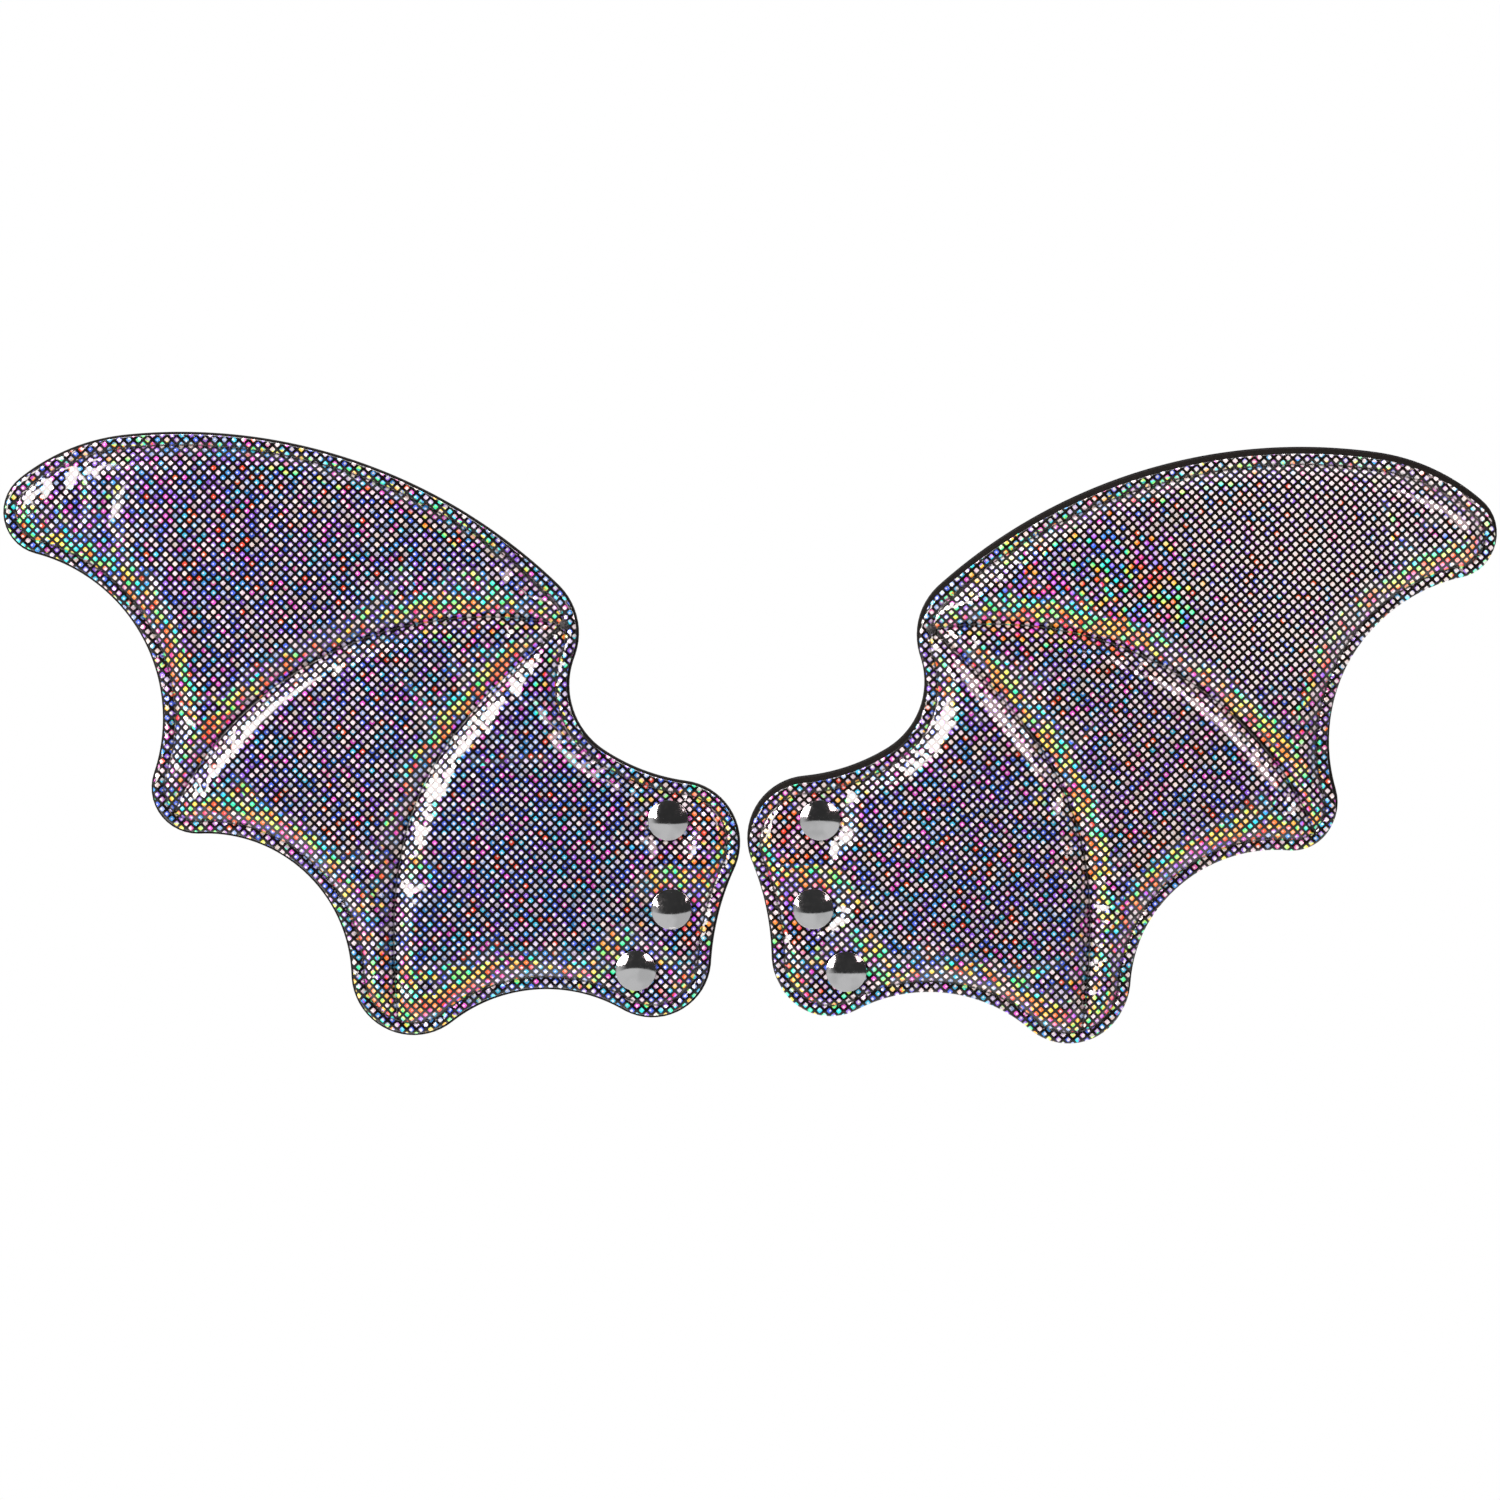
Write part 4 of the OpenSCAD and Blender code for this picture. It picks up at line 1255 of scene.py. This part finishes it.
def anchor_stitches():
    """Box of stitches that holds the strip to the wing."""
    low, high = -FOLD_GAP - ANCHOR_W + 1.6, -FOLD_GAP - 1.4
    reach = FOLD_LENGTH / 2 - 5
    corners = [(low, -reach), (high, -reach), (high, reach), (low, reach), (low, -reach)]
    line = np.array([FOLD_MIDDLE + s * FOLD_INWARD + t * FOLD_ALONG for s, t in corners])
    line = resample(line, 0.8, False)
    path = np.column_stack([line, np.full(len(line), -FLAP_T)])
    return stitch_tubes(path, 2.9, 2.2, THREAD_R, -0.14, 0.4)


CAP_ROLL = 0.16
DOME_H = 1.35
CAP_LEAN = {
    "left": [(0.03, -0.04), (-0.02, -0.09), (0.02, 0.08)],
    "right": [(-0.05, 0.03), (0.02, -0.07), (-0.02, -0.01)],
}


def cap_profile():
    """Domed cap with a rolled rim, its post and the spread end inside the socket."""
    dome_r = (CAP_R ** 2 + DOME_H ** 2) / (2 * DOME_H)
    reach = math.asin((CAP_R - 0.07) / dome_r)
    shoulder = FRONT_LEVEL + CAP_H - DOME_H
    profile = [(0.0, -0.9), (2.2, -0.9), (2.25, -0.45), (1.8, -0.45), (1.8, FRONT_LEVEL - 0.1)]
    profile += [(CAP_R - 0.9, FRONT_LEVEL - 0.1)]
    for low, high, level in ((-90, 0, FRONT_LEVEL + CAP_ROLL), (0, 50, shoulder - 0.06)):
        for a in np.radians(np.linspace(low, high, 4)):
            profile.append((CAP_R - CAP_ROLL + CAP_ROLL * math.cos(a), level + CAP_ROLL * math.sin(a)))
    for k in range(20):
        a = reach * (1 - k / 20) * 0.985
        profile.append((dome_r * math.sin(a), FRONT_LEVEL + CAP_H - dome_r + dome_r * math.cos(a)))
    profile.append((0.0, FRONT_LEVEL + CAP_H))
    return profile


def pressed_on(solid, snap, lean):
    """A cap whose dome leans a little, the rim staying where it is."""
    vertices, faces, uvs = solid
    away = vertices[:, :2] - snap
    on_dome = vertices[:, 2] > FRONT_LEVEL + CAP_H - DOME_H
    share = np.clip(1 - (away ** 2).sum(axis=1) / CAP_R ** 2, 0, 1) * on_dome
    vertices[:, 2] += away @ np.array(lean) * share
    return vertices, faces, uvs


def snap_caps(side):
    leans = zip(SNAPS, CAP_LEAN[side])
    caps = [pressed_on(lathe(cap_profile(), snap), snap, lean) for snap, lean in leans]
    return add_piece(side, "caps", joined(caps), CHROME, ("snap_caps",))


def build_wing(side):
    skin, foam, back = front_skin(side), foam_core(side), back_skin(side)
    edge = thread_piece(side, "edge_stitches", seam_stitches(side, EDGE_SEAM, True),
                        "edge_thread_root", "edge_thread_wing")
    for piece in (skin, foam, back, edge):
        bend_with(piece)
    for name, line in (("outer_finger", OUTER_SEAM), ("inner_finger", INNER_SEAM)):
        data = seam_stitches(side, line[4:-4], False)
        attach(thread_piece(side, f"{name}_stitches", data, f"{name}_thread"), f"{side}_wing")
    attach(thread_piece(side, "back_tack", knot_data(), "seam_knot"), f"{side}_wing")

    flap = lace_flap(side)
    bend_with(flap)
    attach(thread_piece(side, "flap_stitches", flap_stitches(), "flap_thread"), f"{side}_flap")
    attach(thread_piece(side, "anchor_stitches", anchor_stitches(), "anchor_thread"), f"{side}_root")
    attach(snap_caps(side), f"{side}_root")
    for name in ("snap_sockets", "socket_springs", "snap_studs", "stud_eyelets"):
        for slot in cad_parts[f"{side}_{name}"].material_slots:
            slot.material = NICKEL


for wing_side in ("left", "right"):
    build_wing(wing_side)


# ---- Floor, light and camera ----

# the dark room fades out between these two shares of facing it, and a pale table starts below the horizon
ROOM_WAY = (0.30, -0.90, 0.30)
ROOM_FADE = (0.74, 0.36)
ROOM_DARK, STUDIO_PALE, BACKDROP = 0.035, 0.52, 1.0
TABLE_EDGE, TABLE_PALE = -0.06, 0.58


def set_world():
    """A pale studio whose dark room, behind the camera, shows only in reflections and in the shade."""
    world = bpy.data.worlds.new("studio")
    bpy.context.scene.world = world
    n = Nodes(world)
    way = n.add("ShaderNodeTexCoord").outputs["Generated"]
    towards = n.fed("ShaderNodeVectorMath", way, operation="DOT_PRODUCT")
    towards.inputs[1].default_value = ROOM_WAY
    room = n.between(towards.outputs["Value"], *ROOM_FADE, ROOM_DARK, STUDIO_PALE)
    table = n.between(n.axes(way)[2], TABLE_EDGE, TABLE_EDGE - 0.06, 0.0, TABLE_PALE)
    pick = n.fed("ShaderNodeMix", n.add("ShaderNodeLightPath").outputs["Is Camera Ray"])
    n.feed(pick.inputs["A"], n.math("MAXIMUM", room, table))
    pick.inputs["B"].default_value = BACKDROP
    background = n.tree.nodes["Background"]
    n.link(pick.outputs["Result"], background.inputs["Strength"])
    background.inputs["Color"].default_value = WHITE


def add_area(name, location, size, energy, color=(1, 1, 1)):
    light = bpy.data.lights.new(name, "AREA")
    light.shape = "RECTANGLE"
    light.size, light.size_y = size
    light.energy = energy
    light.color = color
    holder = bpy.data.objects.new(name, light)
    holder.location = location
    holder.rotation_euler = (-Vector(location)).to_track_quat("-Z", "Y").to_euler()
    bpy.context.scene.collection.objects.link(holder)


FLOOR_DROP = 0.55
FLOOR_REACH, FLOOR_FRONT = 2.4, 0.35


def add_floor():
    """A pale floor well below the pair, which ends before the camera would see it."""
    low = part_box("left_back_skin_wing")[0][2] - FLOOR_DROP
    size, front = FLOOR_REACH, FLOOR_FRONT
    vertices = [(-size, -front, low), (size, -front, low), (size, size, low), (-size, size, low)]
    floor = new_piece("floor", vertices, [(0, 1, 2, 3)], smooth=False)
    floor.data.materials.append(new_material("floor").surface(color=solid((0.9, 0.9, 0.9)), rough=0.7))


# the view's width as a share of the pair's, and how far its middle lies below the pair's, in millimetres
VIEW_SHARE = 1.00368
VIEW_DROP = 3.35
LENS, SENSOR = 120.0, 36.0


def add_camera():
    """Straight on to the front, framed as close as the pair allows, with the pair a little high."""
    low, high = CAD_BOX
    width = (high[0] - low[0]) * VIEW_SHARE
    data = bpy.data.cameras.new("camera")
    data.lens, data.sensor_width = LENS, SENSOR
    camera = bpy.data.objects.new("camera", data)
    middle_x = (low[0] + high[0]) / 2
    middle_z = (low[2] + high[2]) / 2 - VIEW_DROP * MM
    camera.location = (middle_x, low[1] - width * LENS / SENSOR, middle_z)
    camera.rotation_euler = (math.radians(90), 0, 0)
    data.clip_start, data.clip_end = 0.01, 50
    bpy.context.scene.collection.objects.link(camera)
    bpy.context.scene.camera = camera


set_world()
add_area("key", (-1.15, -1.125, 0.65), (0.90, 0.90), 42.0, (1.0, 0.91, 0.89))
add_area("soft", (0.95, -0.95, 0.75), (0.8, 0.6), 10.5, (1.0, 0.77, 0.80))
add_area("above", (0.0, 0.8, 1.6), (1.6, 1.0), 30.0)
add_area("behind", (0.8, 1.2, 0.5), (0.5, 0.5), 9.0)
add_floor()
add_camera()

bpy.context.scene.view_settings.view_transform = "Standard"
